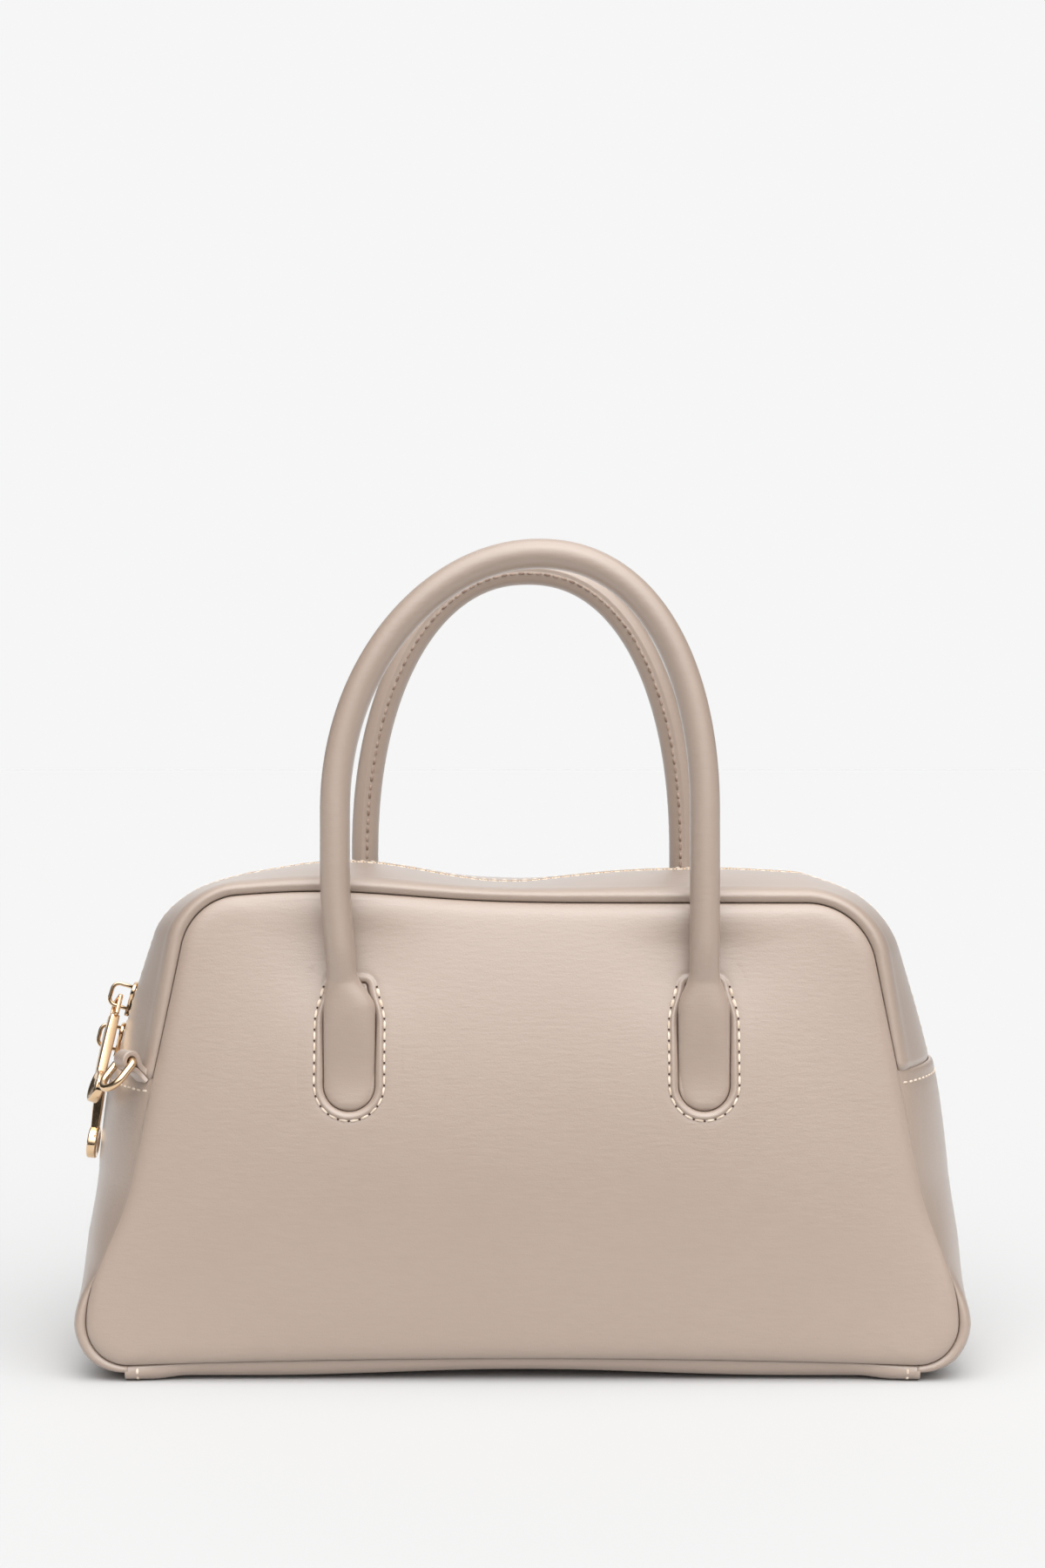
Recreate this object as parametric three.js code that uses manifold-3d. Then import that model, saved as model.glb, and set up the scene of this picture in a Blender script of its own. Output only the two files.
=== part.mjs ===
// Soft box bag in smooth leather. Two crowned panels are sewn to a rounded gusset: zip strips run over
// the top, side panels with a turned edge close the ends, and a base panel joins them underneath.
// Two rolled handles sit in windows of the panels. Gold zip, pulls and ring are at the left end.
// Millimetres, X to the right, Y to the back, Z up. The origin is on the floor under the middle.

import * as THREE from 'three';
import { mergeVertices } from 'three/addons/utils/BufferGeometryUtils.js';
import Module from 'manifold-3d';

const wasm = await Module();
wasm.setup();

// Driving dimensions
const LEATHER = 2;
const GAP = 0.3;
const SEAM_GAP = 0.4;
const BOTTOM = { halfWidth: 155.4, corner: 16, endHeight: 5, middleHeight: 8.6 };
const SIDE = { flareHeight: 70, flareEase: 20, heelEase: 18 };
const TOP = { height: 169.5, corner: 25 };
const LEFT_RISE = { x: -74, reach: 33, height: 4.2, from: 120 };
const DEPTH = { bottom: 57, top: 44 };
const ROLL = { height: 5, width: 5.5 };
const PANEL = { edgeDepth: 4, edgeWidth: 6, crown: 6, middleHeight: 84 };
const CREST_DIP = { x: -10.5, reach: 24, depth: 4.2 };
const FLOOR_ARCH = { reach: 95, height: 3.4 };
const FOLD = { step: 1.7, hem: 1.8, hemLength: 12, hemEase: 3, fade: 45 };
const ZIP = {
  openingHalfWidth: 4.5, chainHalfWidth: 2.8, chainProud: -0.1, chainDepth: 1.8,
  tapeHalfWidth: 11, tapeThickness: 0.8,
};
const TAB = {
  bottom: 96.6, length: 46, halfWidth: 9.2, halfThickness: 3.2, sink: 0.8, swellFrom: 16, neckFrom: 33,
};
const FLANGE = { margin: 5, gap: 1.1, thickness: 1.6 };
const WINDOW = { gap: 0.4, top: 143, corner: 3, depth: 40 };

// The two ends of the soft body differ a little: half widths of the seam, height of the turned edge
const ENDS = {
  left: { flareX: 140.4, topX: 119.4, foldHeight: 107.2 },
  right: { flareX: 142.4, topX: 123, foldHeight: 110.2 },
};

// How far the gusset swells out in mid depth on each side, at stations along the seam
const CROWN = [
  { station: 0, left: 0, right: 0 },
  { station: 1, left: 0, right: 0 },
  { station: 2, left: 1.5, right: 1.5 },
  { station: 2.5, left: 8, right: 7.5 },
  { station: 3, left: 13.4, right: 12 },
  { station: 3.5, left: 14.4, right: 12.4 },
  { station: 4, left: 10.2, right: 9 },
  { station: 4.4, left: 6, right: 5.6 },
  { station: 4.75, left: 2.2, right: 3.4 },
  { station: 5, left: 1.6, right: 4.7 },
  { station: 5.25, left: 4.2, right: 6 },
  { station: 5.5, left: 5.4, right: 5.9 },
  { station: 6, left: 4.8, right: 4.8 },
];

// Steps of the seam from each station to the next: bottom, lower corner, flare, side, top corner, top
const SEAM_STEPS = [4, 4, 4, 4, 5, 6];
const STATION = { middle: 0, foot: 1, heel: 2, flare: 3, shoulder: 4, crownEdge: 5, crown: 6 };
const LEAST_STEP = 0.06;

// Soft dents of each panel where a handle pulls on it
const DENTS = [
  { x: -62, z: 150, halfWidth: 19, halfHeight: 13, depth: 2.4 },
  { x: 64.6, z: 150, halfWidth: 19, halfHeight: 13, depth: 2.4 },
];

// Rolled handles: face is -1 at the front and 1 at the back, and each leg has its X at three heights
const HANDLE = { radius: 5.3, springHeight: 203, lift: 6.2, inward: 4, sides: 10, archSteps: 16 };
const HANDLES = [
  {
    name: 'front_handle', face: -1, topHeight: 295, lean: 6, tuck: 0,
    left: { tab: -61.6, neck: -64.4, leg: -66.8 },
    right: { tab: 64.6, neck: 64.8, leg: 65 },
  },
  {
    name: 'back_handle', face: 1, topHeight: 296, lean: 1.5, tuck: 3.4,
    left: { tab: -62, neck: -62.4, leg: -62.8 },
    right: { tab: 63, neck: 63.4, leg: 63.8 },
  },
];

// Heights above the tab's lower end at which a leg's section is taken
const LEG_RISES = [17, 25, 33, 37, 40, 43, TAB.length, 62, 84];

// Zip sliders on the left end, with the rest angles of their pulls in degrees
const SLIDERS = [
  { name: 'upper', height: 130.8, swing: -7, tilt: -38, yaw: 16 },
  { name: 'lower', height: 115.6, swing: -7, tilt: -2, yaw: 0 },
];
const SLIDER = {
  length: 13, headHalfWidth: 4.6, tailHalfWidth: 3.2, thickness: 1.6,
  lipLength: 9, lipDepth: 1.9, lipWidth: 0.9,
  bridgeLength: 9.8, bridgeHeight: 8.6, bridgeWidth: 1.8, bridgeThickness: 1.4,
  bridgeSunk: 0.5, bridgeCorner: 3.4,
  pivotX: -1.6, pivotHeight: 4.2,
};
const PULL = {
  length: 38.5, discRadius: 6, discThickness: 3.6, dishRadius: 4.2, dishDepth: 0.6, barRadius: 2,
  frameLength: 8.4, frameHalfWidth: 4.1, armWidth: 1.1, armThickness: 1.6, pinRadius: 0.75,
};
const D_RING = { wireRadius: 1.4, width: 11, corner: 2.2, legLength: 5, wireSides: 6, steps: 30 };
const LOOP = {
  x: -141.9, y: -48.8, height: 113.5, turn: 36, drop: 47, width: 7.4, outerRadius: 3.7, tailThickness: 3.6,
  tailLength: 5.6,
};

const LEATHER_LOOK = { color: 0xc7b4a6, roughness: 0.55, metalness: 0 };
const GOLD_LOOK = { color: 0xdcb97c, roughness: 0.2, metalness: 1 };
const TAPE_LOOK = { color: 0xb8a392, roughness: 0.9, metalness: 0 };

const UP = new THREE.Vector3(0, 0, 1);
const BACK = new THREE.Vector3(0, 1, 0);

// Small helpers

const mix = (from, to, share) => from + (to - from) * share;
const smooth = (value, low, high) => THREE.MathUtils.smoothstep(value, low, high);
const radians = (degrees) => THREE.MathUtils.degToRad(degrees);

// A quarter ellipse that rises from 0 to 1 as share goes from 0 to 1, then stays at 1.
function quarterRound(share) {
  const left = 1 - Math.min(Math.max(share, 0), 1);
  return Math.sqrt(1 - left * left);
}

// A bell that is 1 in the middle and fades at the given reach.
function bell(distance, reach) {
  return Math.exp(-0.5 * (distance / reach) ** 2);
}

// A value read between the rows of a table, on a smooth curve through them.
function readTable(rows, key, column, at) {
  let row = 0;
  while (row < rows.length - 2 && at > rows[row + 1][key]) row += 1;
  const slopeAt = (index) => {
    const before = rows[Math.max(index - 1, 0)];
    const after = rows[Math.min(index + 1, rows.length - 1)];
    return (after[column] - before[column]) / (after[key] - before[key]);
  };
  const [low, high] = [rows[row], rows[row + 1]];
  const width = high[key] - low[key];
  const share = (at - low[key]) / width;
  const eased = share * share * (3 - 2 * share);
  const bend = slopeAt(row) * (1 - share) - slopeAt(row + 1) * share;
  return mix(low[column], high[column], eased) + width * share * (1 - share) * bend;
}

// Solids

// A closed geometry from points and triangles, with equal points merged and its faces turned out.
function closedGeometry(points, triangles) {
  const raw = new THREE.BufferGeometry();
  raw.setFromPoints(points);
  raw.setIndex(triangles.flat());
  const merged = mergeVertices(raw, 1e-4);
  const place = merged.getAttribute('position');
  const corner = (index) => new THREE.Vector3().fromBufferAttribute(place, index);
  const kept = [];
  let volume = 0;
  for (let i = 0; i < merged.index.count; i += 3) {
    const [a, b, c] = [0, 1, 2].map((k) => merged.index.getX(i + k));
    if (a === b || b === c || c === a) continue;
    kept.push([a, b, c]);
    volume += corner(a).dot(corner(b).cross(corner(c)));
  }
  merged.setIndex(kept.map(([a, b, c]) => (volume < 0 ? [a, c, b] : [a, b, c])).flat());
  merged.computeVertexNormals();
  return merged;
}

// A wall between two matching grids of points, closed along its edges. A ring joins its ends.
function wall(outer, inner, ring = false) {
  const columns = outer.length;
  const rows = outer[0].length;
  const inside = columns * rows;
  const at = (i, j) => (i % columns) * rows + j;
  const triangles = [];
  const quad = (a, b, c, d) => triangles.push([a, b, c], [a, c, d]);
  const lastColumn = ring ? columns : columns - 1;
  for (let i = 0; i < lastColumn; i += 1) {
    for (let j = 0; j < rows - 1; j += 1) {
      quad(at(i, j), at(i + 1, j), at(i + 1, j + 1), at(i, j + 1));
      quad(inside + at(i, j), inside + at(i, j + 1), inside + at(i + 1, j + 1), inside + at(i + 1, j));
    }
    const edge = rows - 1;
    quad(at(i, 0), inside + at(i, 0), inside + at(i + 1, 0), at(i + 1, 0));
    quad(at(i, edge), at(i + 1, edge), inside + at(i + 1, edge), inside + at(i, edge));
  }
  for (let j = 0; j < rows - 1 && !ring; j += 1) {
    const end = columns - 1;
    quad(at(0, j), at(0, j + 1), inside + at(0, j + 1), inside + at(0, j));
    quad(at(end, j), inside + at(end, j), inside + at(end, j + 1), at(end, j + 1));
  }
  return closedGeometry([...outer.flat(), ...inner.flat()], triangles);
}

// A solid through rings of points. It is closed by flat ends, or joins its last ring to its first.
function loft(rings, joined = false) {
  const sides = rings[0].length;
  const points = rings.flat();
  const triangles = [];
  const at = (i, j) => (i % rings.length) * sides + (j % sides);
  const last = joined ? rings.length : rings.length - 1;
  for (let i = 0; i < last; i += 1) {
    for (let j = 0; j < sides; j += 1) {
      triangles.push([at(i, j), at(i + 1, j), at(i + 1, j + 1)], [at(i, j), at(i + 1, j + 1), at(i, j + 1)]);
    }
  }
  const middleOf = (ring) => ring.reduce((sum, p) => sum.add(p), new THREE.Vector3()).divideScalar(sides);
  if (!joined) {
    points.push(middleOf(rings[0]), middleOf(rings[rings.length - 1]));
    for (let j = 0; j < sides; j += 1) {
      triangles.push([at(0, j + 1), points.length - 2, at(0, j)]);
      triangles.push([at(last, j), points.length - 1, at(last, j + 1)]);
    }
  }
  return closedGeometry(points, triangles);
}

function toManifold(geometry) {
  const bare = geometry.clone();
  bare.deleteAttribute('normal');
  bare.deleteAttribute('uv');
  const merged = mergeVertices(bare, 1e-4);
  return new wasm.Manifold(new wasm.Mesh({
    numProp: 3,
    vertProperties: new Float32Array(merged.getAttribute('position').array),
    triVerts: new Uint32Array(merged.index.array),
  }));
}

function toGeometry(manifold) {
  const mesh = manifold.getMesh();
  const geometry = new THREE.BufferGeometry();
  geometry.setAttribute('position', new THREE.BufferAttribute(mesh.vertProperties, 3));
  geometry.setIndex(new THREE.BufferAttribute(mesh.triVerts, 1));
  geometry.computeVertexNormals();
  return geometry;
}

const join = (...pieces) => toGeometry(pieces.map(toManifold).reduce((whole, piece) => whole.add(piece)));
const cut = (whole, ...tools) => toGeometry(tools.map(toManifold).reduce((rest, tool) => rest.subtract(tool),
  toManifold(whole)));

// A flat outline in X and Z, extruded across Y about the middle.
function extrudeAcross(shape, width, curveSegments = 8) {
  const geometry = new THREE.ExtrudeGeometry(shape, { depth: width, bevelEnabled: false, curveSegments });
  geometry.translate(0, 0, -width / 2);
  return geometry.rotateX(Math.PI / 2);
}

// Seam between panel and gusset

// Half of the seam outline in X and Z, from the middle of the bottom to the middle of the top.
function halfSeam(end) {
  const foot = new THREE.Vector2(BOTTOM.halfWidth - BOTTOM.corner, BOTTOM.endHeight);
  const heel = new THREE.Vector2(BOTTOM.halfWidth, BOTTOM.endHeight + BOTTOM.corner);
  const flare = new THREE.Vector2(end.flareX, SIDE.flareHeight);
  const corner = new THREE.Vector2(end.topX, TOP.height);
  const upSide = corner.clone().sub(flare).normalize();
  const tangent = TOP.corner * Math.tan(Math.acos(-upSide.x) / 2);
  const shoulder = corner.clone().addScaledVector(upSide, -tangent);
  const cornerMiddle = new THREE.Vector2(corner.x - tangent, corner.y - TOP.corner);
  const shoulderAngle = shoulder.clone().sub(cornerMiddle).angle();
  const bottomMiddle = new THREE.Vector2(0, BOTTOM.middleHeight);
  const topMiddle = new THREE.Vector2(0, TOP.height);
  return [
    new THREE.QuadraticBezierCurve(bottomMiddle, new THREE.Vector2(foot.x / 2, bottomMiddle.y), foot),
    new THREE.EllipseCurve(foot.x, heel.y, BOTTOM.corner, BOTTOM.corner, -Math.PI / 2, 0),
    new THREE.CubicBezierCurve(heel, new THREE.Vector2(heel.x, heel.y + SIDE.heelEase),
      flare.clone().addScaledVector(upSide, -SIDE.flareEase), flare),
    new THREE.LineCurve(flare, shoulder),
    new THREE.EllipseCurve(cornerMiddle.x, cornerMiddle.y, TOP.corner, TOP.corner, shoulderAngle, Math.PI / 2),
    new THREE.LineCurve(new THREE.Vector2(cornerMiddle.x, corner.y), topMiddle),
  ];
}

const HALF_SEAMS = { left: halfSeam(ENDS.left), right: halfSeam(ENDS.right) };

// Name of an end. Side is 1 on the right and -1 on the left.
const endOf = (side) => (side > 0 ? 'right' : 'left');

// Point and outward direction of the seam in X and Z.
function seamAt(side, station) {
  const curves = HALF_SEAMS[endOf(side)];
  const index = Math.min(Math.floor(station), curves.length - 1);
  const flat = curves[index].getPoint(station - index);
  const along = curves[index].getTangent(station - index);
  const x = side * flat.x;
  const rise = LEFT_RISE.height * bell(x - LEFT_RISE.x, LEFT_RISE.reach)
    * smooth(flat.y, LEFT_RISE.from, TOP.height);
  return { x, z: flat.y + rise, outX: side * along.y, outZ: -along.x };
}

// Half depth of the body at the seam, at a height.
const halfDepth = (z) => mix(DEPTH.bottom, DEPTH.top, (z - BOTTOM.endHeight) / (TOP.height - BOTTOM.endHeight));

// Stations from one place on the seam to another, with the steps that each stretch of it needs.
function stationsBetween(from, to) {
  const list = [from];
  for (let index = Math.floor(from); index < Math.ceil(to); index += 1) {
    for (let step = 1; step <= SEAM_STEPS[index]; step += 1) {
      const station = index + step / SEAM_STEPS[index];
      if (station > from + LEAST_STEP && station < to - LEAST_STEP) list.push(station);
    }
  }
  return [...list, to];
}

// Gusset

// How far the gusset stands out from the seam at a depth y.
function gussetBulge(side, station, y) {
  const seam = seamAt(side, station);
  const half = halfDepth(seam.z);
  const dip = CREST_DIP.depth * bell(seam.x - CREST_DIP.x, CREST_DIP.reach)
    * smooth(station, STATION.shoulder, STATION.crownEdge);
  const crown = readTable(CROWN, 'station', endOf(side), station) - dip;
  return ROLL.height * quarterRound((half - Math.abs(y)) / ROLL.width) + crown * (1 - (y / half) ** 2);
}

// Point of the gusset at a depth y, raised by lift along the seam's outward direction.
function gussetPoint(side, station, y, lift = 0) {
  const seam = seamAt(side, station);
  const out = gussetBulge(side, station, y) + lift;
  return new THREE.Vector3(seam.x + seam.outX * out, y, seam.z + seam.outZ * out);
}

// The same place on the inner face of a wall: inwards by its thickness, and nearer to mid depth.
function gussetInside(side, station, y, thickness, lift = 0) {
  const half = halfDepth(seamAt(side, station).z);
  const point = gussetPoint(side, station, y, lift - thickness);
  point.y *= (half - LEATHER) / half;
  return point;
}

// Depths from near mid depth to the seam: two over the flat part, four over the round edge.
function depthsToSeam(half) {
  const flat = [0.32, 0.64].map((share) => half * share);
  const roll = [1, 0.4, 0.12, 0].map((share) => half - share * ROLL.width);
  return [...flat, ...roll];
}

// Depths across the gusset from the front seam to the back seam.
function depthsAcross(half) {
  const back = depthsToSeam(half);
  const front = back.map((y) => -y).reverse();
  return [...front, 0, ...back];
}

// Straight stretch of the seam up one side.
const sideLine = (side) => HALF_SEAMS[endOf(side)][STATION.flare];

// Station of the straight side of the seam at a height.
function stationAtHeight(side, z) {
  const { v1, v2 } = sideLine(side);
  return STATION.flare + (z - v1.y) / (v2.y - v1.y);
}

// Station where the gusset reaches a height at a depth y. It differs from the seam's, as the gusset swells.
function swollenStation(side, height, y) {
  const guess = stationAtHeight(side, height);
  const out = gussetBulge(side, guess, y);
  return stationAtHeight(side, height - seamAt(side, guess).outZ * out);
}

// Station where the level turned edge crosses a depth y.
const foldStation = (side, y) => swollenStation(side, ENDS[endOf(side)].foldHeight, y);

// Columns of a zip strip or tape, from the right fold over the top to the left fold. Each gives the
// side and the station at a depth y, kept clear of the turned edge by margin along the seam.
function columnsOverTop(margin) {
  const oneSide = (side) => {
    const upper = stationsBetween(STATION.shoulder, STATION.crown);
    const rising = [0, 1 / 3, 2 / 3].map((share) => (y) => {
      const first = foldStation(side, y) + margin / sideLine(side).getLength();
      return { side, station: mix(first, STATION.shoulder, share) };
    });
    return [...rising, ...upper.map((station) => () => ({ side, station }))];
  };
  return [...oneSide(1), ...oneSide(-1).reverse().slice(1)];
}

// Grid of a band over the top. Depths gives the band's depths y at a half depth of the body, and point
// gives a place of the band at a side, a station and one of those depths.
function bandOverTop(depths, margin, point) {
  return columnsOverTop(margin).map((column) => {
    const middle = column(0);
    const rough = depths(halfDepth(seamAt(middle.side, middle.station).z));
    return rough.map((roughY, j) => {
      const { side, station } = column(roughY);
      return point(side, station, depths(halfDepth(seamAt(side, station).z))[j]);
    });
  });
}

// Strip of leather from the seam to the edge of the zip.
function zipStrip(face) {
  const depths = (half) => [...depthsToSeam(half).reverse(), ZIP.openingHalfWidth].map((y) => face * y);
  const inside = (side, station, y) => {
    const point = gussetInside(side, station, y, LEATHER);
    if (Math.abs(y) <= ZIP.openingHalfWidth) point.y = y;
    return point;
  };
  return wall(bandOverTop(depths, GAP, gussetPoint), bandOverTop(depths, GAP, inside));
}

// Band of even thickness along the zip, from top down, at distances from the strips' outer face.
function zipBand(halfWidth, top, thickness, margin) {
  const depths = () => [-halfWidth, 0, halfWidth];
  const raised = (lift) => bandOverTop(depths, margin,
    (side, station, y) => gussetPoint(side, station, y, lift));
  return wall(raised(top), raised(top - thickness));
}

const zipTape = () => zipBand(ZIP.tapeHalfWidth, -LEATHER - GAP, ZIP.tapeThickness, GAP);
const zipChain = () => zipBand(ZIP.chainHalfWidth, ZIP.chainProud, ZIP.chainDepth, 2 * GAP);

// Side panel from the base round the lower corner to its turned edge, which stands proud of the zip.
function sidePanel(side) {
  const start = STATION.foot + GAP / BOTTOM.corner;
  const middleEnd = foldStation(side, 0);
  const shares = stationsBetween(start, middleEnd).map((station) => (station - start) / (middleEnd - start));
  const sideLength = sideLine(side).getLength();
  const grid = (point) => shares.map((share) => {
    const half = halfDepth(seamAt(side, mix(start, middleEnd, share)).z);
    return depthsAcross(half).map((y) => {
      const end = foldStation(side, y);
      const station = mix(start, end, share);
      const depth = y * halfDepth(seamAt(side, station).z) / half;
      const below = (end - station) * sideLength;
      const proud = FOLD.step * (1 - smooth(below, 0, FOLD.fade));
      const hem = FOLD.hem * (1 - smooth(below, FOLD.hemLength - FOLD.hemEase, FOLD.hemLength));
      const rounded = quarterRound((halfDepth(seamAt(side, station).z) - Math.abs(depth)) / ROLL.width);
      return point(side, station, depth, proud * rounded, LEATHER + hem * rounded);
    });
  });
  return wall(
    grid((s, station, y, lift) => gussetPoint(s, station, y, lift)),
    grid((s, station, y, lift, thickness) => gussetInside(s, station, y, thickness, lift)),
  );
}

// Base panel. It lies flat on the floor near both ends and arches up in the middle.
function basePanel() {
  const half = stationsBetween(STATION.middle, STATION.foot);
  const places = [...half.slice(1).reverse().map((s) => [-1, s]), ...half.map((s) => [1, s])];
  const floorAt = (x) => {
    const share = Math.min(Math.abs(x) / FLOOR_ARCH.reach, 1);
    return FLOOR_ARCH.height * Math.cos(share * Math.PI / 2) ** 2;
  };
  const grid = (point) => places.map(([side, station]) => {
    const seam = seamAt(side, station);
    const depth = halfDepth(seam.z);
    return depthsAcross(depth).map((y) => point(seam, depth, y));
  });
  const outer = (seam, depth, y) => {
    const round = quarterRound((depth - Math.abs(y)) / ROLL.width);
    return new THREE.Vector3(seam.x, y, mix(seam.z, floorAt(seam.x), round));
  };
  const inner = (seam, depth, y) => {
    const point = outer(seam, depth, y);
    return new THREE.Vector3(point.x, y * (depth - LEATHER) / depth, point.z + LEATHER);
  };
  return wall(grid(outer), grid(inner));
}

// Panels

// Depth of a panel's outer face behind its foremost plane: the seam, the round edge, the crown, the dents.
function panelFace(x, z, edgeDistance, share) {
  const edge = PANEL.edgeDepth * quarterRound(edgeDistance / PANEL.edgeWidth);
  const swell = PANEL.crown * (1 - share * share);
  const dent = DENTS.reduce((sum, row) => sum
    + row.depth * bell(x - row.x, row.halfWidth) * bell(z - row.z, row.halfHeight), 0);
  return halfDepth(z) + SEAM_GAP + edge + swell - dent * smooth(edgeDistance, 0, 2 * PANEL.edgeWidth);
}

// Seam stations all the way round, counter-clockwise from the middle of the bottom.
function seamRing() {
  const half = stationsBetween(STATION.middle, STATION.crown);
  return [...half.map((s) => [1, s]), ...half.slice(1, -1).reverse().map((s) => [-1, s])];
}

// Crowned panel as rings that shrink from the seam to the middle. Face is -1 at the front.
function panelWall(face) {
  const shares = [0, 0.4, 0.68, 0.86, 0.94, 0.98, 1];
  const middle = { x: 0, z: PANEL.middleHeight };
  const outer = [];
  const inner = [];
  for (const [side, station] of seamRing()) {
    const seam = seamAt(side, station);
    const reach = (seam.x - middle.x) * seam.outX + (seam.z - middle.z) * seam.outZ;
    const place = (share) => ({ x: mix(middle.x, seam.x, share), z: mix(middle.z, seam.z, share) });
    const faceAt = (share) => {
      const { x, z } = place(share);
      return panelFace(x, z, (1 - share) * reach, share);
    };
    outer.push(shares.map((share) => {
      const { x, z } = place(share);
      return new THREE.Vector3(x, face * faceAt(share), z);
    }));
    inner.push(shares.map((share) => {
      const { x, z } = place(share * (1 - LEATHER / reach));
      return new THREE.Vector3(x, face * (faceAt(share) - LEATHER), z);
    }));
  }
  return wall(outer, inner, true);
}

// Outer face of a panel at any place in its middle part, as a distance from mid depth.
function panelFaceAt(x, z) {
  const middle = new THREE.Vector2(0, PANEL.middleHeight);
  const toward = new THREE.Vector2(x, z).sub(middle);
  const facing = seamRing().map(([side, station]) => seamAt(side, station))
    .map((seam) => ({ seam, ray: new THREE.Vector2(seam.x, seam.z).sub(middle) }))
    .reduce((best, next) => (next.ray.angleTo(toward) < best.ray.angleTo(toward) ? next : best));
  const share = toward.length() / facing.ray.length();
  const reach = facing.ray.x * facing.seam.outX + facing.ray.y * facing.seam.outZ;
  return panelFace(x, z, (1 - share) * reach, share);
}

// Window that a handle's tab shows through: round at the bottom, nearly square at the top.
function windowTool(x, face) {
  const half = TAB.halfWidth + WINDOW.gap;
  const round = TAB.bottom + TAB.halfWidth;
  const shape = new THREE.Shape();
  shape.moveTo(-half, round);
  shape.absarc(0, round, half, Math.PI, 2 * Math.PI);
  shape.lineTo(half, WINDOW.top - WINDOW.corner);
  shape.absarc(half - WINDOW.corner, WINDOW.top - WINDOW.corner, WINDOW.corner, 0, Math.PI / 2);
  shape.absarc(WINDOW.corner - half, WINDOW.top - WINDOW.corner, WINDOW.corner, Math.PI / 2, Math.PI);
  const geometry = extrudeAcross(shape, WINDOW.depth, 7);
  return geometry.translate(x, face * panelFaceAt(x, WINDOW.top), 0);
}

function panel(face) {
  const handle = HANDLES.find((row) => row.face === face);
  return cut(panelWall(face), windowTool(handle.left.tab, face), windowTool(handle.right.tab, face));
}

// Handles

// Half width, half thickness and distance out from the panel of a handle's leg, by height above its lower end.
function legSection(rise) {
  const roundEnd = Math.min(rise, TAB.halfWidth);
  const ended = Math.sqrt(TAB.halfWidth ** 2 - (TAB.halfWidth - roundEnd) ** 2);
  return {
    halfWidth: mix(ended, HANDLE.radius, smooth(rise, TAB.neckFrom, TAB.length)),
    halfThickness: mix(TAB.halfThickness, HANDLE.radius, smooth(rise, TAB.swellFrom, TAB.length)),
    out: mix(-TAB.sink, HANDLE.lift, smooth(rise, TAB.swellFrom, TAB.length - 2)),
  };
}

// Sections of one leg from its round lower end to below the spring of the arch.
function legSections(face, places) {
  const round = [0, 1, 2, 3, 4].map((k) => TAB.halfWidth * (1 - Math.cos(k * Math.PI / 8)));
  const top = LEG_RISES[LEG_RISES.length - 1];
  return [...round, ...LEG_RISES].map((rise) => {
    const section = legSection(rise);
    const neckX = mix(places.tab, places.neck, smooth(rise, TAB.neckFrom, TAB.length));
    const x = mix(neckX, places.leg, smooth(rise, TAB.length, top));
    const onPanel = TAB.bottom + Math.min(rise, TAB.length);
    const y = face * (panelFaceAt(x, onPanel) + section.out);
    const middle = new THREE.Vector3(x, y, TAB.bottom + rise);
    return { middle, across: new THREE.Vector3(1, 0, 0), ...section };
  });
}

// Sewn border of a tab: a plate behind the panel, wider than the window all round.
function tabFlange(handle, tabX) {
  const half = TAB.halfWidth + FLANGE.margin;
  const corner = half / 2;
  const low = TAB.bottom - FLANGE.margin;
  const high = TAB.bottom + TAB.length + FLANGE.margin;
  const lower = [low, low + corner / 3, low + corner];
  const upper = [high - corner, high - corner / 3, high];
  const rings = [...lower, (low + high) / 2, ...upper].map((z) => {
    const toEnd = Math.min(z - low, high - z);
    const halfWidth = half - corner * (1 - quarterRound((toEnd + GAP) / corner));
    const back = panelFaceAt(tabX, z) - LEATHER - FLANGE.gap;
    const corners = [[-1, 0], [1, 0], [1, 1], [-1, 1]];
    return corners.map(([side, deep]) => new THREE.Vector3(
      tabX + side * halfWidth, handle.face * (back - deep * FLANGE.thickness), z));
  });
  return loft(rings);
}

// Middle of a handle's arch, at an angle from pi at the left leg to 0 at the right leg.
function archPoint(handle, feet, angle) {
  const [left, right] = feet;
  const rise = Math.sin(angle);
  const across = (1 - Math.cos(angle)) / 2;
  const tuck = Math.cos(angle) < 0 ? handle.tuck * Math.sin(2 * angle) ** 2 : 0;
  return new THREE.Vector3(
    mix(handle.right.leg, handle.left.leg, across) + handle.lean * rise ** 2 + tuck,
    mix(right.y, left.y, across) - handle.face * HANDLE.inward * rise,
    HANDLE.springHeight + (handle.topHeight - HANDLE.springHeight) * rise,
  );
}

// A rolled handle: two tabs, two legs and an arch that leans a little to one side.
function handleSolid(handle) {
  const left = legSections(handle.face, handle.left);
  const right = legSections(handle.face, handle.right);
  const feet = [left, right].map((leg) => leg[leg.length - 1].middle);
  const nearby = 0.01;
  const arch = Array.from({ length: HANDLE.archSteps + 1 }, (_, k) => {
    const angle = Math.PI * (1 - k / HANDLE.archSteps);
    const before = archPoint(handle, feet, angle + nearby);
    const along = archPoint(handle, feet, angle - nearby).sub(before).normalize();
    return {
      middle: archPoint(handle, feet, angle),
      across: new THREE.Vector3(along.z, 0, -along.x),
      halfWidth: HANDLE.radius,
      halfThickness: HANDLE.radius,
    };
  });
  const turned = right.reverse().map((row) => ({ ...row, across: row.across.clone().negate() }));
  const rings = [...left, ...arch, ...turned].map((row) => Array.from({ length: HANDLE.sides }, (_, k) => {
    const angle = 2 * Math.PI * k / HANDLE.sides;
    return row.middle.clone()
      .addScaledVector(row.across, row.halfWidth * Math.cos(angle))
      .addScaledVector(BACK, row.halfThickness * Math.sin(angle));
  }));
  return join(loft(rings), tabFlange(handle, handle.left.tab), tabFlange(handle, handle.right.tab));
}

// Zip hardware

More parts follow.
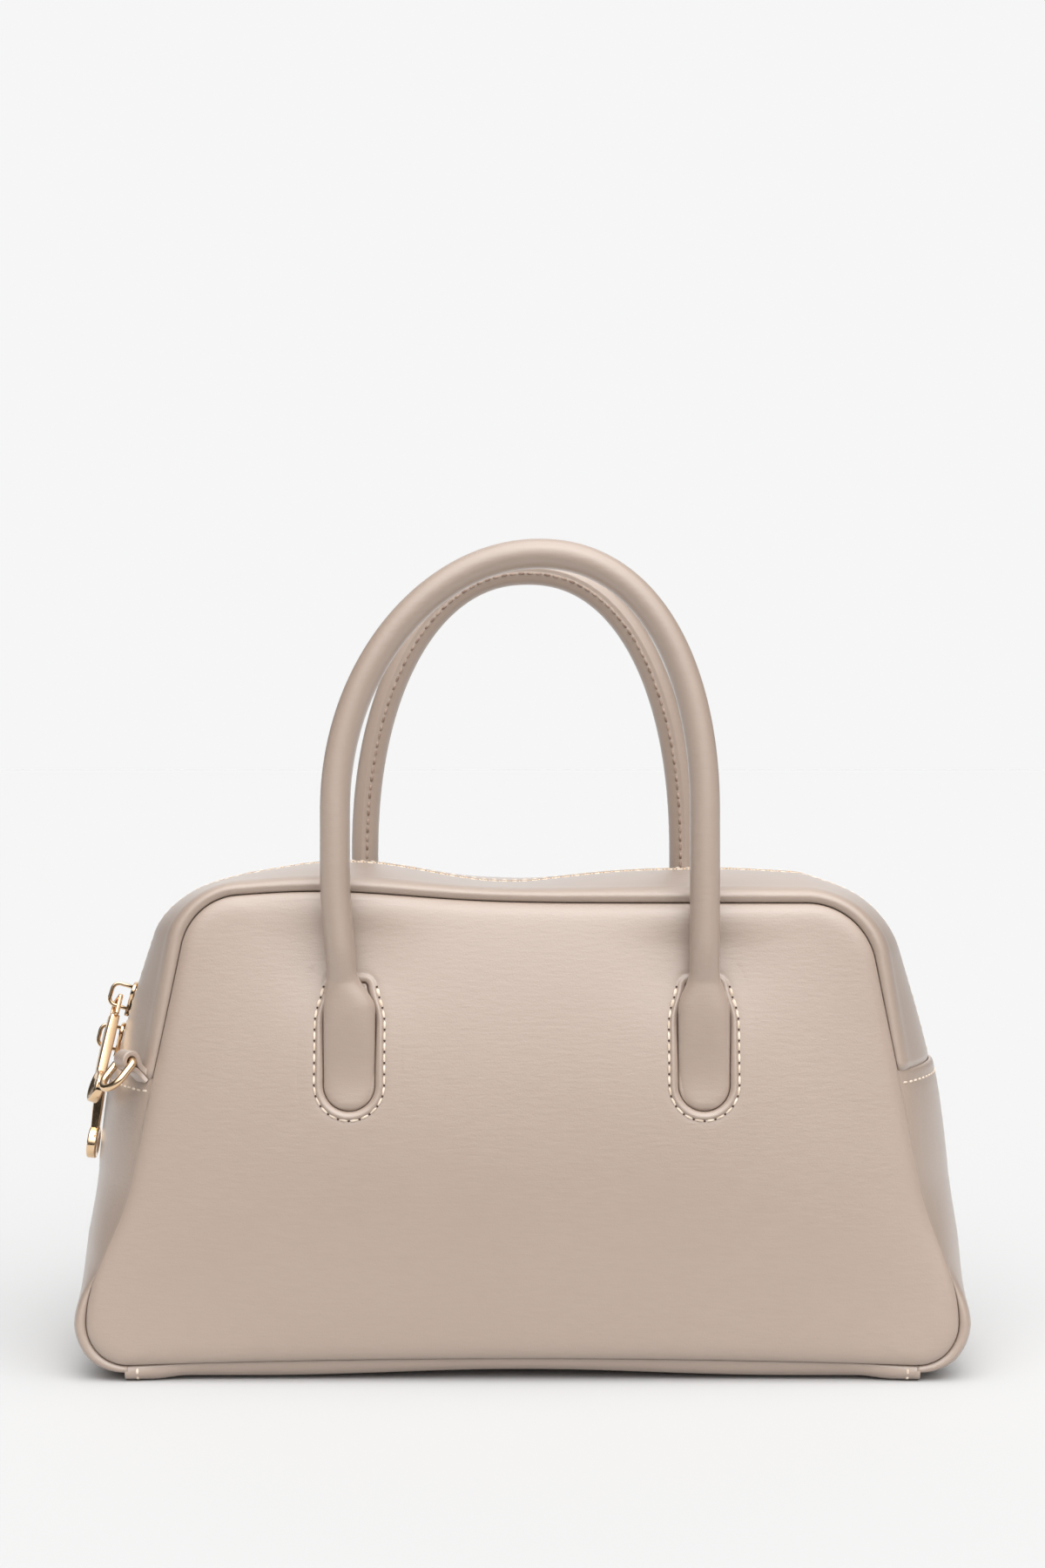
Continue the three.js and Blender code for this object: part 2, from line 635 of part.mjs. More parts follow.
// Frame on the zip line of the left end: X up along the zip, Y across it, Z away from the bag.
function zipFrame(height) {
  const station = swollenStation(-1, height, 0);
  const nearby = 0.05;
  const along = gussetPoint(-1, station + nearby, 0).sub(gussetPoint(-1, station - nearby, 0));
  const group = new THREE.Group();
  group.position.copy(gussetPoint(-1, station, 0, ZIP.chainProud + GAP));
  group.rotation.y = Math.atan2(-along.z, along.x);
  return group;
}

// Slider: a plate over the chain with a lip down each side, and a bridge that carries the pull.
function sliderSolid() {
  const { length, headHalfWidth, tailHalfWidth, thickness, lipLength, lipDepth, lipWidth } = SLIDER;
  const outline = new THREE.Shape();
  outline.moveTo(-length / 2, -tailHalfWidth);
  outline.quadraticCurveTo(0, -tailHalfWidth, length / 4, -headHalfWidth);
  outline.quadraticCurveTo(length / 2, -headHalfWidth, length / 2, 0);
  outline.quadraticCurveTo(length / 2, headHalfWidth, length / 4, headHalfWidth);
  outline.quadraticCurveTo(0, tailHalfWidth, -length / 2, tailHalfWidth);
  const plate = new THREE.ExtrudeGeometry(outline, { depth: thickness, bevelEnabled: false, curveSegments: 5 });
  const lips = [-1, 1].map((side) => {
    const lip = new THREE.BoxGeometry(lipLength, lipWidth, lipDepth);
    return lip.translate(0, side * (ZIP.chainHalfWidth + GAP + lipWidth / 2), thickness / 2 - lipDepth / 2);
  });
  return join(plate, ...lips, bridgeSolid());
}

// Bridge: a round-cornered staple whose opening lies across the zip.
function bridgeSolid() {
  const { bridgeLength, bridgeHeight, bridgeWidth, bridgeThickness } = SLIDER;
  const { bridgeSunk, bridgeCorner, thickness } = SLIDER;
  const staple = (shape, half, height, radius) => {
    shape.moveTo(-half, 0);
    shape.lineTo(half, 0);
    shape.lineTo(half, height - radius);
    shape.absarc(half - radius, height - radius, radius, 0, Math.PI / 2);
    shape.absarc(radius - half, height - radius, radius, Math.PI / 2, Math.PI);
    return shape;
  };
  const outer = staple(new THREE.Shape(), bridgeLength / 2, bridgeHeight, bridgeCorner);
  const inner = staple(new THREE.Shape(), bridgeLength / 2 - bridgeThickness, bridgeHeight - bridgeThickness,
    bridgeCorner - bridgeThickness);
  const opening = extrudeAcross(inner, 2 * bridgeWidth).translate(0, 0, -bridgeSunk);
  return cut(extrudeAcross(outer, bridgeWidth), opening).translate(0, 0, thickness - bridgeSunk);
}

// Pull: a frame round the bridge on a pin, a slim bar and a dished disc. It hangs along -X.
function pullSolid() {
  const { length, discRadius, discThickness, dishRadius, dishDepth, barRadius } = PULL;
  const { frameLength, frameHalfWidth, armWidth, armThickness, pinRadius } = PULL;
  const pin = new THREE.CylinderGeometry(pinRadius, pinRadius, 2 * frameHalfWidth - armWidth, 10);
  const arms = [-1, 1].map((side) => new THREE.BoxGeometry(frameLength + 2 * pinRadius, armWidth, armThickness)
    .translate(-frameLength / 2, side * (frameHalfWidth - armWidth / 2), 0));
  const foot = new THREE.BoxGeometry(2 * armWidth, 2 * frameHalfWidth, armThickness)
    .translate(-frameLength, 0, 0);
  const barLength = length - frameLength - discRadius / 2;
  const bar = new THREE.CylinderGeometry(barRadius, barRadius, barLength, 8).rotateZ(Math.PI / 2)
    .translate(-frameLength - barLength / 2, 0, 0);
  const disc = new THREE.CylinderGeometry(discRadius, discRadius, discThickness, 18).rotateX(Math.PI / 2)
    .translate(-length, 0, 0);
  const dishes = [-1, 1].map((side) => new THREE.CylinderGeometry(dishRadius, dishRadius, 2 * dishDepth, 14)
    .rotateX(Math.PI / 2).translate(-length, 0, side * discThickness / 2));
  return cut(join(pin, ...arms, foot, bar, disc), ...dishes);
}

// Ring: a closed wire with a straight bar and a round bow. The bar lies along X, the bow along Y.
function ringSolid() {
  const half = D_RING.width / 2;
  const path = new THREE.Path();
  path.moveTo(0, 0);
  path.lineTo(half - D_RING.corner, 0);
  path.absarc(half - D_RING.corner, D_RING.corner, D_RING.corner, -Math.PI / 2, 0);
  path.lineTo(half, D_RING.corner + D_RING.legLength);
  path.absarc(0, D_RING.corner + D_RING.legLength, half, 0, Math.PI);
  path.lineTo(-half, D_RING.corner);
  path.absarc(D_RING.corner - half, D_RING.corner, D_RING.corner, Math.PI, 1.5 * Math.PI);
  path.lineTo(0, 0);
  const rings = Array.from({ length: D_RING.steps }, (_, i) => {
    const point = path.getPointAt(i / D_RING.steps);
    const along = path.getTangentAt(i / D_RING.steps);
    const outward = new THREE.Vector3(along.y, -along.x, 0);
    return Array.from({ length: D_RING.wireSides }, (__, k) => {
      const angle = 2 * Math.PI * k / D_RING.wireSides;
      return new THREE.Vector3(point.x, point.y, 0)
        .addScaledVector(outward, D_RING.wireRadius * Math.cos(angle))
        .addScaledVector(UP, D_RING.wireRadius * Math.sin(angle));
    });
  });
  return loft(rings, true);
}

// Leather loop that holds the ring's bar, with its two ends going down behind the turned edge.
// Its own frame has X along the bar, Y away from the bag and Z up.
function loopSolid() {
  const half = LOOP.tailThickness / 2;
  const meeting = Math.asin(half / LOOP.outerRadius);
  const outline = new THREE.Shape()
    .moveTo(half, -LOOP.tailLength)
    .absarc(0, 0, LOOP.outerRadius, meeting - Math.PI / 2, 1.5 * Math.PI - meeting)
    .lineTo(-half, -LOOP.tailLength);
  outline.holes.push(new THREE.Path().absarc(0, 0, D_RING.wireRadius + GAP, 0, 2 * Math.PI, true));
  return toGeometry(toManifold(extrudeAcross(outline, LOOP.width, 9).rotateZ(Math.PI / 2)));
}

// Assembly

function piece(name, geometry, look) {
  const mesh = new THREE.Mesh(geometry, new THREE.MeshStandardMaterial(look));
  mesh.name = name;
  return mesh;
}

function leatherBody() {
  const group = new THREE.Group();
  group.add(
    piece('front_panel', panel(-1), LEATHER_LOOK),
    piece('back_panel', panel(1), LEATHER_LOOK),
    piece('zip_strip_front', zipStrip(-1), LEATHER_LOOK),
    piece('zip_strip_back', zipStrip(1), LEATHER_LOOK),
    piece('side_panel_left', sidePanel(-1), LEATHER_LOOK),
    piece('side_panel_right', sidePanel(1), LEATHER_LOOK),
    piece('base_panel', basePanel(), LEATHER_LOOK),
    ...HANDLES.map((handle) => piece(handle.name, handleSolid(handle), LEATHER_LOOK)),
  );
  return group;
}

function zip() {
  const group = new THREE.Group();
  group.add(piece('zip_tape', zipTape(), TAPE_LOOK), piece('zip_chain', zipChain(), GOLD_LOOK));
  for (const row of SLIDERS) {
    const frame = zipFrame(row.height);
    const pull = piece(`${row.name}_pull`, pullSolid(), GOLD_LOOK);
    pull.position.set(SLIDER.pivotX, 0, SLIDER.thickness + SLIDER.pivotHeight);
    pull.rotation.set(radians(row.yaw), radians(row.swing), radians(-row.tilt), 'ZYX');
    frame.add(piece(`${row.name}_slider`, sliderSolid(), GOLD_LOOK), pull);
    group.add(frame);
  }
  return group;
}

function ringAndLoop() {
  const group = new THREE.Group();
  group.position.set(LOOP.x, LOOP.y, LOOP.height);
  group.rotation.z = radians(90 + LOOP.turn);
  const ring = piece('d_ring', ringSolid(), GOLD_LOOK);
  ring.rotation.x = -radians(LOOP.drop);
  group.add(piece('ring_loop', loopSolid(), LEATHER_LOOK), ring);
  return group;
}

const bag = new THREE.Group();
bag.add(leatherBody(), zip(), ringAndLoop());

export default bag;
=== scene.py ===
"""Looks of a soft leather box bag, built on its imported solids.

One seam line carries the whole body: the panels are crowned inside it and the gusset swells between its
front and back copies. Shapes are worked out in millimetres as whole arrays and become metres when a mesh is
made. X runs to the right, Y to the back and Z up, with the origin on the floor under the middle.
"""

from __future__ import annotations

import logging
import math
from dataclasses import dataclass, field
from enum import Enum
from typing import Any

import bpy
import numpy as np
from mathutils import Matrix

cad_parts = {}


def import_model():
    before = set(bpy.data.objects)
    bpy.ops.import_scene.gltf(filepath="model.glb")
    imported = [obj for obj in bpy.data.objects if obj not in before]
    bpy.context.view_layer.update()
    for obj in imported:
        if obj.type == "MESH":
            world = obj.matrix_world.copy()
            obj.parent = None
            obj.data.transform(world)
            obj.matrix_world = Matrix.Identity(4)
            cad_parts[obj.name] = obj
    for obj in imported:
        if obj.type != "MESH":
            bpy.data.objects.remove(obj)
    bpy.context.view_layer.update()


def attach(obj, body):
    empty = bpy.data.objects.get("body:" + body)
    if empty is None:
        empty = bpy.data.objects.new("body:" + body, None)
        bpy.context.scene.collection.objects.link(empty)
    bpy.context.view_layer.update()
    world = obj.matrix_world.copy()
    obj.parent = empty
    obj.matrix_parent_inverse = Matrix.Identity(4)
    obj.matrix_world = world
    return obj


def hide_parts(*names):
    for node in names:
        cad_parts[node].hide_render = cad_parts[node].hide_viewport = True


Array = np.ndarray
LOG = logging.getLogger("box_bag")
MM = 0.001
MM_PER_METRE = 1000.0

# A point inside the body, in millimetres, that its surfaces look away from
INSIDE = np.array([0.0, 0.0, 90.0])

# Length in its scaled coordinates over which the wave texture draws one wave
WAVE_LENGTH = 2.0 * math.pi / 20.0

# Stations along half of the seam, from 0 at the middle of the bottom, where its stretches end
FOOT, HEEL, FLARE, SHOULDER, TOP_CORNER, TOP_MIDDLE = 1.0, 2.0, 3.0, 4.0, 5.0, 6.0


class Face(Enum):
    """Front or back of the bag, as the sign of Y."""

    FRONT = -1
    BACK = 1


class Slot(Enum):
    """Material slots of the record."""

    LEATHER = "leather"
    GOLD = "gold_metal"
    TAPE = "zip_tape"


# Curves and easing


def mix(start: Any, end: Any, share: Any) -> Any:
    """Give the value a share of the way from start to end."""
    return start + (end - start) * share


def smooth(value: Any, low: float, high: float) -> Array:
    """Ease from 0 at low to 1 at high, as 3 t^2 - 2 t^3."""
    share = np.clip((np.asarray(value, float) - low) / (high - low), 0.0, 1.0)
    return share * share * (3.0 - 2.0 * share)


def quarter_round(share: Any) -> Array:
    """Rise from 0 to 1 on a quarter of an ellipse, then stay at 1."""
    left = 1.0 - np.clip(share, 0.0, 1.0)
    return np.sqrt(1.0 - left * left)


def bell(distance: Any, reach: float) -> Array:
    """Give 1 in the middle and fade at the reach, as exp(-d^2 / 2 r^2)."""
    return np.exp(-0.5 * (np.asarray(distance, float) / reach) ** 2)


def unit(vectors: Array) -> Array:
    """Give the vectors at length 1."""
    return vectors / np.linalg.norm(vectors, axis=-1, keepdims=True)


def through_rows(keys: tuple[float, ...], values: tuple[float, ...], at: Array) -> Array:
    """Read a table on a cubic curve whose slope at each row is that between its neighbours.

    Args:
        keys: where the rows stand.
        values: what the rows hold.
        at: where to read.

    Returns:
        The values at those places.
    """
    place, value = np.array(keys), np.array(values)
    before = np.maximum(np.arange(place.size) - 1, 0)
    after = np.minimum(np.arange(place.size) + 1, place.size - 1)
    slope = (value[after] - value[before]) / (place[after] - place[before])
    row = np.clip(np.searchsorted(place, at) - 1, 0, place.size - 2)
    width = place[row + 1] - place[row]
    share = (at - place[row]) / width
    bend = slope[row] * (1.0 - share) - slope[row + 1] * share
    return mix(value[row], value[row + 1], smooth(share, 0.0, 1.0)) + width * share * (1.0 - share) * bend


def bezier(corners: tuple[Array, ...], share: Array) -> tuple[Array, Array]:
    """Give points and directions on a Bezier curve, by mixing neighbouring corners until two are left.

    Args:
        corners: the curve's corners.
        share: places from 0 to 1.

    Returns:
        Points, and directions along the curve.
    """
    rows = [np.asarray(corner, float) + 0.0 * share for corner in corners]
    while len(rows) > 2:
        rows = [mix(a, b, share) for a, b in zip(rows, rows[1:])]
    return mix(rows[0], rows[1], share), rows[1] - rows[0]


def arc(middle: Array, radius: float, start: float, end: float, share: Array) -> tuple[Array, Array]:
    """Give points and directions on an arc about a middle, between two angles.

    Args:
        middle: its middle.
        radius: its radius.
        start: its first angle, in radians.
        end: its last angle.
        share: places from 0 to 1.

    Returns:
        Points, and directions towards growing angles.
    """
    angle = mix(start, end, share)
    ray = np.concatenate([np.cos(angle), np.sin(angle)], axis=-1)
    along = np.concatenate([-np.sin(angle), np.cos(angle)], axis=-1)
    return middle + radius * ray, along


def turn(axis: str, degrees: float) -> Array:
    """Give the matrix that turns about one of the axes X, Y and Z by the right-hand rule.

    Args:
        axis: name of the axis.
        degrees: the angle.

    Returns:
        The matrix.
    """
    first, second = {"X": (1, 2), "Y": (2, 0), "Z": (0, 1)}[axis]
    matrix = np.eye(3)
    cosine, sine = math.cos(math.radians(degrees)), math.sin(math.radians(degrees))
    matrix[first, first] = matrix[second, second] = cosine
    matrix[first, second], matrix[second, first] = -sine, sine
    return matrix


def running_length(path: Array) -> Array:
    """Give the distance along a path at each of its points."""
    return np.r_[0.0, np.cumsum(np.linalg.norm(np.diff(path, axis=0), axis=1))]


def read_path(path: Array, lengths: Array, at: Array) -> Array:
    """Give the places on a path at distances along it."""
    return np.stack([np.interp(at, lengths, path[:, axis]) for axis in range(path.shape[1])], axis=-1)


# Surfaces


@dataclass
class Patch:
    """A surface: points in millimetres, and its faces as arrays of point numbers."""

    points: Array
    faces: list[Array]

    @classmethod
    def grid(cls, points: Array, close_rows: bool = False, close_columns: bool = False) -> Patch:
        """Make a surface from a grid of points.

        Args:
            points: rows, columns, and the three coordinates.
            close_rows: join the last row to the first.
            close_columns: join the last column to the first.

        Returns:
            The surface, in four-sided faces.
        """
        rows, columns = points.shape[:2]
        number = np.arange(rows * columns).reshape(rows, columns)
        if close_rows:
            number = np.vstack([number, number[:1]])
        if close_columns:
            number = np.hstack([number, number[:, :1]])
        quads = np.stack([number[:-1, :-1], number[1:, :-1], number[1:, 1:], number[:-1, 1:]], axis=-1)
        return cls(points.reshape(-1, 3), [quads.reshape(-1, 4)])

    @classmethod
    def solid(cls, rings: Array) -> Patch:
        """Make a closed solid through rings of points, its two ends closed by fans to their middles.

        Args:
            rings: rings, points round each, and coordinates.

        Returns:
            The solid, faces outwards.
        """
        body = cls.grid(rings, close_columns=True)
        count, sides = rings.shape[:2]
        first = np.arange(sides)
        last = first + (count - 1) * sides
        hubs = np.stack([rings[0].mean(axis=0), rings[-1].mean(axis=0)])
        start = np.stack([np.roll(first, -1), np.full(sides, count * sides), first], axis=-1)
        end = np.stack([last, np.full(sides, count * sides + 1), np.roll(last, -1)], axis=-1)
        return cls(np.vstack([body.points, hubs]), [*body.faces, start[:, ::-1], end[:, ::-1]]).turned_out()

    @classmethod
    def fan_grid(cls, points: Array, hub: Array) -> Patch:
        """Make a round surface from rings of points, the first of which closes on a hub.

        Args:
            points: rings from the inside out.
            hub: the point in the middle.

        Returns:
            The surface.
        """
        body = cls.grid(points, close_columns=True)
        rings, sides = points.shape[:2]
        first = np.arange(sides)
        fan = np.stack([first, np.roll(first, -1), np.full(sides, rings * sides)], axis=-1)
        return cls(np.vstack([body.points, hub[None]]), [*body.faces, fan])

    @classmethod
    def joined(cls, patches: list[Patch]) -> Patch:
        """Put several surfaces into one.

        Args:
            patches: the surfaces.

        Returns:
            All of them as one.
        """
        starts = np.cumsum([0] + [len(patch.points) for patch in patches])
        faces = [block + start for patch, start in zip(patches, starts) for block in patch.faces]
        return cls(np.vstack([patch.points for patch in patches]), faces)

    def copies(self, places: Array, axes: Array) -> Patch:
        """Repeat this surface.

        Args:
            places: where each copy stands.
            axes: a matrix for each copy, whose columns are its X, Y and Z.

        Returns:
            All the copies as one surface.
        """
        points = np.einsum("nij,kj->nki", axes, self.points) + places[:, None]
        starts = np.arange(len(places))[:, None, None] * len(self.points)
        faces = [(block[None] + starts).reshape(-1, block.shape[1]) for block in self.faces]
        return Patch(points.reshape(-1, 3), faces)

    def turned_out(self, inside: Array | None = None) -> Patch:
        """Turn the faces outwards, by the sign of the volume between them and a point.

        Args:
            inside: a point to look away from, which an open surface needs.

        Returns:
            The surface, turned round if it looked inwards.
        """
        middle = np.zeros(3) if inside is None else inside
        total = 0.0
        for block in self.faces:
            corner = self.points[block] - middle
            total += np.einsum("ij,ij->", corner[:, 0], np.cross(corner[:, 1], corner[:, 2]))
            if block.shape[1] == 4:
                total += np.einsum("ij,ij->", corner[:, 0], np.cross(corner[:, 2], corner[:, 3]))
        return self if total > 0 else Patch(self.points, [block[:, ::-1] for block in self.faces])


@dataclass(frozen=True)
class Place:
    """A frame of its own: an origin and a matrix whose columns are its X, Y and Z."""

    origin: Array
    axes: Array

    def put(self, patch: Patch) -> Patch:
        """Move a surface from this frame to the bag's."""
        return Patch(self.origin + patch.points @ self.axes.T, patch.faces)

    def inner(self, origin: Array, axes: Array) -> Place:
        """Give a frame that is stated in this one."""
        return Place(self.origin + self.axes @ np.asarray(origin, float), self.axes @ axes)


def rounded_section(width: float, height: float, radius: float, steps: int = 4) -> Array:
    """Give a rectangle with round corners as points round its middle.

    Args:
        width: its first size.
        height: its second size.
        radius: radius of its corners.
        steps: points in each corner.

    Returns:
        The points, counter-clockwise.
    """
    angle = np.linspace(0.0, math.pi / 2.0, steps)
    turns = np.arange(4)[:, None] * math.pi / 2.0 + angle
    corner = np.array([[1, 1], [-1, 1], [-1, -1], [1, -1]]) * (np.array([width, height]) / 2.0 - radius)
    ring = corner[:, None] + radius * np.stack([np.cos(turns), np.sin(turns)], axis=-1)
    return ring.reshape(-1, 2)


def round_section(radius: float, sides: int) -> Array:
    """Give a circle as points round its middle."""
    angle = np.linspace(0.0, 2.0 * math.pi, sides, endpoint=False)
    return radius * np.stack([np.cos(angle), np.sin(angle)], axis=-1)


def flat_sweep(path: Array, section: Array, closed: bool) -> Patch:
    """Carry a section along a path in the XY plane.

    The section's first coordinate goes to the side of the path and its second along Z, so that a point is
    path + side * s + Z * t.

    Args:
        path: points in X and Y.
        section: points to the side and up.
        closed: join the path's end to its start.

    Returns:
        A closed solid.
    """
    if closed:
        along = np.roll(path, -1, axis=0) - np.roll(path, 1, axis=0)
    else:
        along = np.gradient(path, axis=0)
    along = unit(along)
    side = np.stack([along[:, 1], -along[:, 0]], axis=-1)
    flat = path[:, None] + side[:, None] * section[None, :, :1]
    up = np.broadcast_to(section[None, :, 1:], flat.shape[:2] + (1,))
    rings = np.concatenate([flat, up], axis=-1)
    if closed:
        return Patch.grid(rings, close_rows=True, close_columns=True).turned_out()
    return Patch.solid(rings)


def rounded_loop(low: Array, high: Array, radius: float, steps: int = 7) -> Array:
    """Give a closed path round a rectangle from its low to its high corner, with round corners."""
    middle = (low + high) / 2.0
    return middle + rounded_section(high[0] - low[0], high[1] - low[1], radius, steps)


def slab(outline: Array, low: float, high: float, edge: float) -> Patch:
    """Make a plate with rounded edges from a closed outline in X and Y.

    Rings of the outline, drawn in by edge * (1 - cos a), rise by edge * sin a at each of its two rims.

    Args:
        outline: points counter-clockwise.
        low: height of its lower face.
        high: height of its upper face.
        edge: radius of its rims.

    Returns:
        A closed solid.
    """
    along = unit(np.roll(outline, -1, axis=0) - np.roll(outline, 1, axis=0))
    out = np.stack([along[:, 1], -along[:, 0]], axis=-1)
    angle = np.linspace(0.0, math.pi / 2.0, 5)
    inset = edge * (1.0 - np.cos(angle))
    rise = edge * np.sin(angle)
    insets = np.r_[inset[::-1], inset]
    heights = np.r_[low + edge - rise[::-1], high - edge + rise]
    flat = outline[None] - out[None] * insets[:, None, None]
    up = np.broadcast_to(heights[:, None, None], flat.shape[:2] + (1,))
    return Patch.solid(np.concatenate([flat, up], axis=-1))


def lathe_along_z(radii: Array, heights: Array, sides: int) -> Patch:
    """Turn a profile about Z into a closed solid.

    Args:
        radii: its radii.
        heights: its heights.
        sides: points round it.

    Returns:
        The solid.
    """
    ring = round_section(1.0, sides)
    flat = radii[:, None, None] * ring[None]
    up = np.broadcast_to(heights[:, None, None], flat.shape[:2] + (1,))
    return Patch.solid(np.concatenate([flat, up], axis=-1))


# Finishes


def linear(colour: str) -> tuple[float, ...]:
    """Turn an sRGB hex colour into a shader's linear one, by the curve of the sRGB standard."""
    parts = [int(colour[start : start + 2], 16) / 255.0 for start in (1, 3, 5)]
    return (*[part / 12.92 if part <= 0.04045 else ((part + 0.055) / 1.055) ** 2.4 for part in parts], 1.0)


def add_node(
    tree: bpy.types.NodeTree, kind: str, inputs: dict[Any, Any] | None = None, **settings: Any,
) -> Any:
    """Add a node with its settings, and set or link its inputs.

    Args:
        tree: the node tree.
        kind: the node's type.
        inputs: by name or number, a value or the socket that feeds it.
        settings: the node's own properties.

    Returns:
        The node.
    """
    node = tree.nodes.new(kind)
    for key, value in settings.items():
        setattr(node, key, value)
    for key, value in (inputs or {}).items():
        if isinstance(value, bpy.types.NodeSocket):
            tree.links.new(value, node.inputs[key])
        else:
            node.inputs[key].default_value = value
    return node


def blank_material(name: str) -> tuple[bpy.types.Material, Any, Any]:
    """Make a material with a plain shader.

    Args:
        name: its name.

    Returns:
        The material, its node tree and its shader.
    """
    material = bpy.data.materials.new(name)
    material.use_nodes = True
    tree = material.node_tree
    return material, tree, tree.nodes["Principled BSDF"]


def pattern_scale(size_mm: float) -> float:
    """Give a texture's scale, in repeats for each metre, from a real size."""
    return MM_PER_METRE / size_mm


@dataclass(frozen=True)
class SmoothLeather:
    """Dyed calf leather, ironed smooth and lacquered: an even colour, fine creases and a soft broad shine."""

    name: str = "calf_leather_ironed_and_lacquered"
    colour: str = "#a29083"
    deep: str = "#9f8d80"
    roughness: float = 0.44
    roughness_spread: float = 0.08
    coat: float = 1.0
    coat_roughness: float = 0.34
    pore_mm: float = 0.7
    crease_mm: float = 1.3
    crease_stretch: float = 0.22
    tone_mm: float = 55.0
    tone_level: float = 0.25
    deep_at: float = 0.36
    colour_at: float = 0.66

    def make(self) -> bpy.types.Material:
        """Make the material. The pores are drawn coarser than the real ones, so that they show.

        Returns:
            The material.
        """
        material, tree, shader = blank_material(self.name)
        coords = add_node(tree, "ShaderNodeTexCoord").outputs["Object"]
        level = add_node(tree, "ShaderNodeMapping",
                         {"Vector": coords, "Scale": (self.crease_stretch, 1.0, 1.0)})
        pores = add_node(tree, "ShaderNodeTexVoronoi",
                         {"Vector": coords, "Scale": pattern_scale(self.pore_mm)})
        crease = add_node(tree, "ShaderNodeTexNoise", {
            "Vector": level.outputs[0], "Scale": pattern_scale(self.crease_mm), "Detail": 3.0})
        tone = add_node(tree, "ShaderNodeTexNoise", {
            "Vector": coords, "Scale": pattern_scale(self.tone_mm), "Detail": 3.0})
        both = add_node(tree, "ShaderNodeMath", {
            0: tone.outputs["Fac"], 1: crease.outputs["Fac"], 2: self.tone_level}, operation="MULTIPLY_ADD")
        dye = add_node(tree, "ShaderNodeValToRGB", {"Fac": both.outputs[0]})
        dye.color_ramp.elements[0].position = self.deep_at
        dye.color_ramp.elements[0].color = linear(self.deep)
        dye.color_ramp.elements[1].position = self.colour_at
        dye.color_ramp.elements[1].color = linear(self.colour)
        shine = add_node(tree, "ShaderNodeMapRange", {
            "Value": crease.outputs["Fac"], "To Min": self.roughness - self.roughness_spread,
            "To Max": self.roughness + self.roughness_spread})
        low = add_node(tree, "ShaderNodeBump", {
            "Height": crease.outputs["Fac"], "Strength": 0.22, "Distance": 0.3 * MM})
        fine = add_node(tree, "ShaderNodeBump", {
            "Height": pores.outputs["Distance"], "Strength": 0.1, "Distance": 0.2 * MM,
            "Normal": low.outputs[0]})
        tree.links.new(dye.outputs["Color"], shader.inputs["Base Color"])
        tree.links.new(shine.outputs[0], shader.inputs["Roughness"])
        tree.links.new(fine.outputs[0], shader.inputs["Normal"])
        tree.links.new(fine.outputs[0], shader.inputs["Coat Normal"])
        shader.inputs["IOR"].default_value = 1.5
        shader.inputs["Coat Weight"].default_value = self.coat
        shader.inputs["Coat Roughness"].default_value = self.coat_roughness
        return material


@dataclass(frozen=True)
class GoldPlate:
    """Pale gold plating on polished zinc: sharp bright reflections with faint polishing haze."""

    name: str = "zinc_polished_and_gold_plated"
    colour: str = "#eecda6"
    roughness: float = 0.13
    smoother: float = 0.05
    rougher: float = 0.07
    haze_mm: float = 2.5

    def make(self) -> bpy.types.Material:
        """Make the material.

        Returns:
            The material.
        """
        material, tree, shader = blank_material(self.name)
        coords = add_node(tree, "ShaderNodeTexCoord").outputs["Object"]
        haze = add_node(tree, "ShaderNodeTexNoise", {
            "Vector": coords, "Scale": pattern_scale(self.haze_mm), "Detail": 4.0})
        shine = add_node(tree, "ShaderNodeMapRange", {
            "Value": haze.outputs["Fac"], "To Min": self.roughness - self.smoother,
            "To Max": self.roughness + self.rougher})
        tree.links.new(shine.outputs[0], shader.inputs["Roughness"])
        shader.inputs["Base Color"].default_value = linear(self.colour)
        shader.inputs["Metallic"].default_value = 1.0
        return material


@dataclass(frozen=True)
class RibbedFibre:
    """Polyester fibre laid in slanting ribs: a matt surface with a low wave of tone and height."""

    name: str
    colour: str
    deep: str
    wave_mm: float
    slant: tuple[float, float, float]
    waver: float
    bump: float
    bump_depth_mm: float
    roughness: float

    def make(self) -> bpy.types.Material:
        """Make the material. The waves are drawn much coarser than real ribs, so that the tone varies.

        Returns:
            The material.
        """
        material, tree, shader = blank_material(self.name)
        coords = add_node(tree, "ShaderNodeTexCoord").outputs["Object"]
        slant = add_node(tree, "ShaderNodeMapping", {"Vector": coords, "Rotation": self.slant})
        ribs = add_node(tree, "ShaderNodeTexWave", {
            "Vector": slant.outputs[0], "Scale": WAVE_LENGTH * pattern_scale(self.wave_mm),
            "Distortion": self.waver})
        dye = add_node(tree, "ShaderNodeValToRGB", {"Fac": ribs.outputs["Fac"]})
        dye.color_ramp.elements[0].color = linear(self.deep)
        dye.color_ramp.elements[1].color = linear(self.colour)
        bump = add_node(tree, "ShaderNodeBump", {
            "Height": ribs.outputs["Fac"], "Strength": self.bump, "Distance": self.bump_depth_mm * MM})
        tree.links.new(dye.outputs["Color"], shader.inputs["Base Color"])
        tree.links.new(bump.outputs[0], shader.inputs["Normal"])
        shader.inputs["Roughness"].default_value = self.roughness
        return material


@dataclass(frozen=True)
class SewingThread(RibbedFibre):
    """Twisted polyester thread: a soft sheen, its tone varied by the slant of its plies."""

    wave_mm: float = 5.0265
    slant: tuple[float, float, float] = (0.5, 0.6, 0.7)
    waver: float = 1.0
    bump: float = 0.3
    bump_depth_mm: float = 0.2
    roughness: float = 0.6


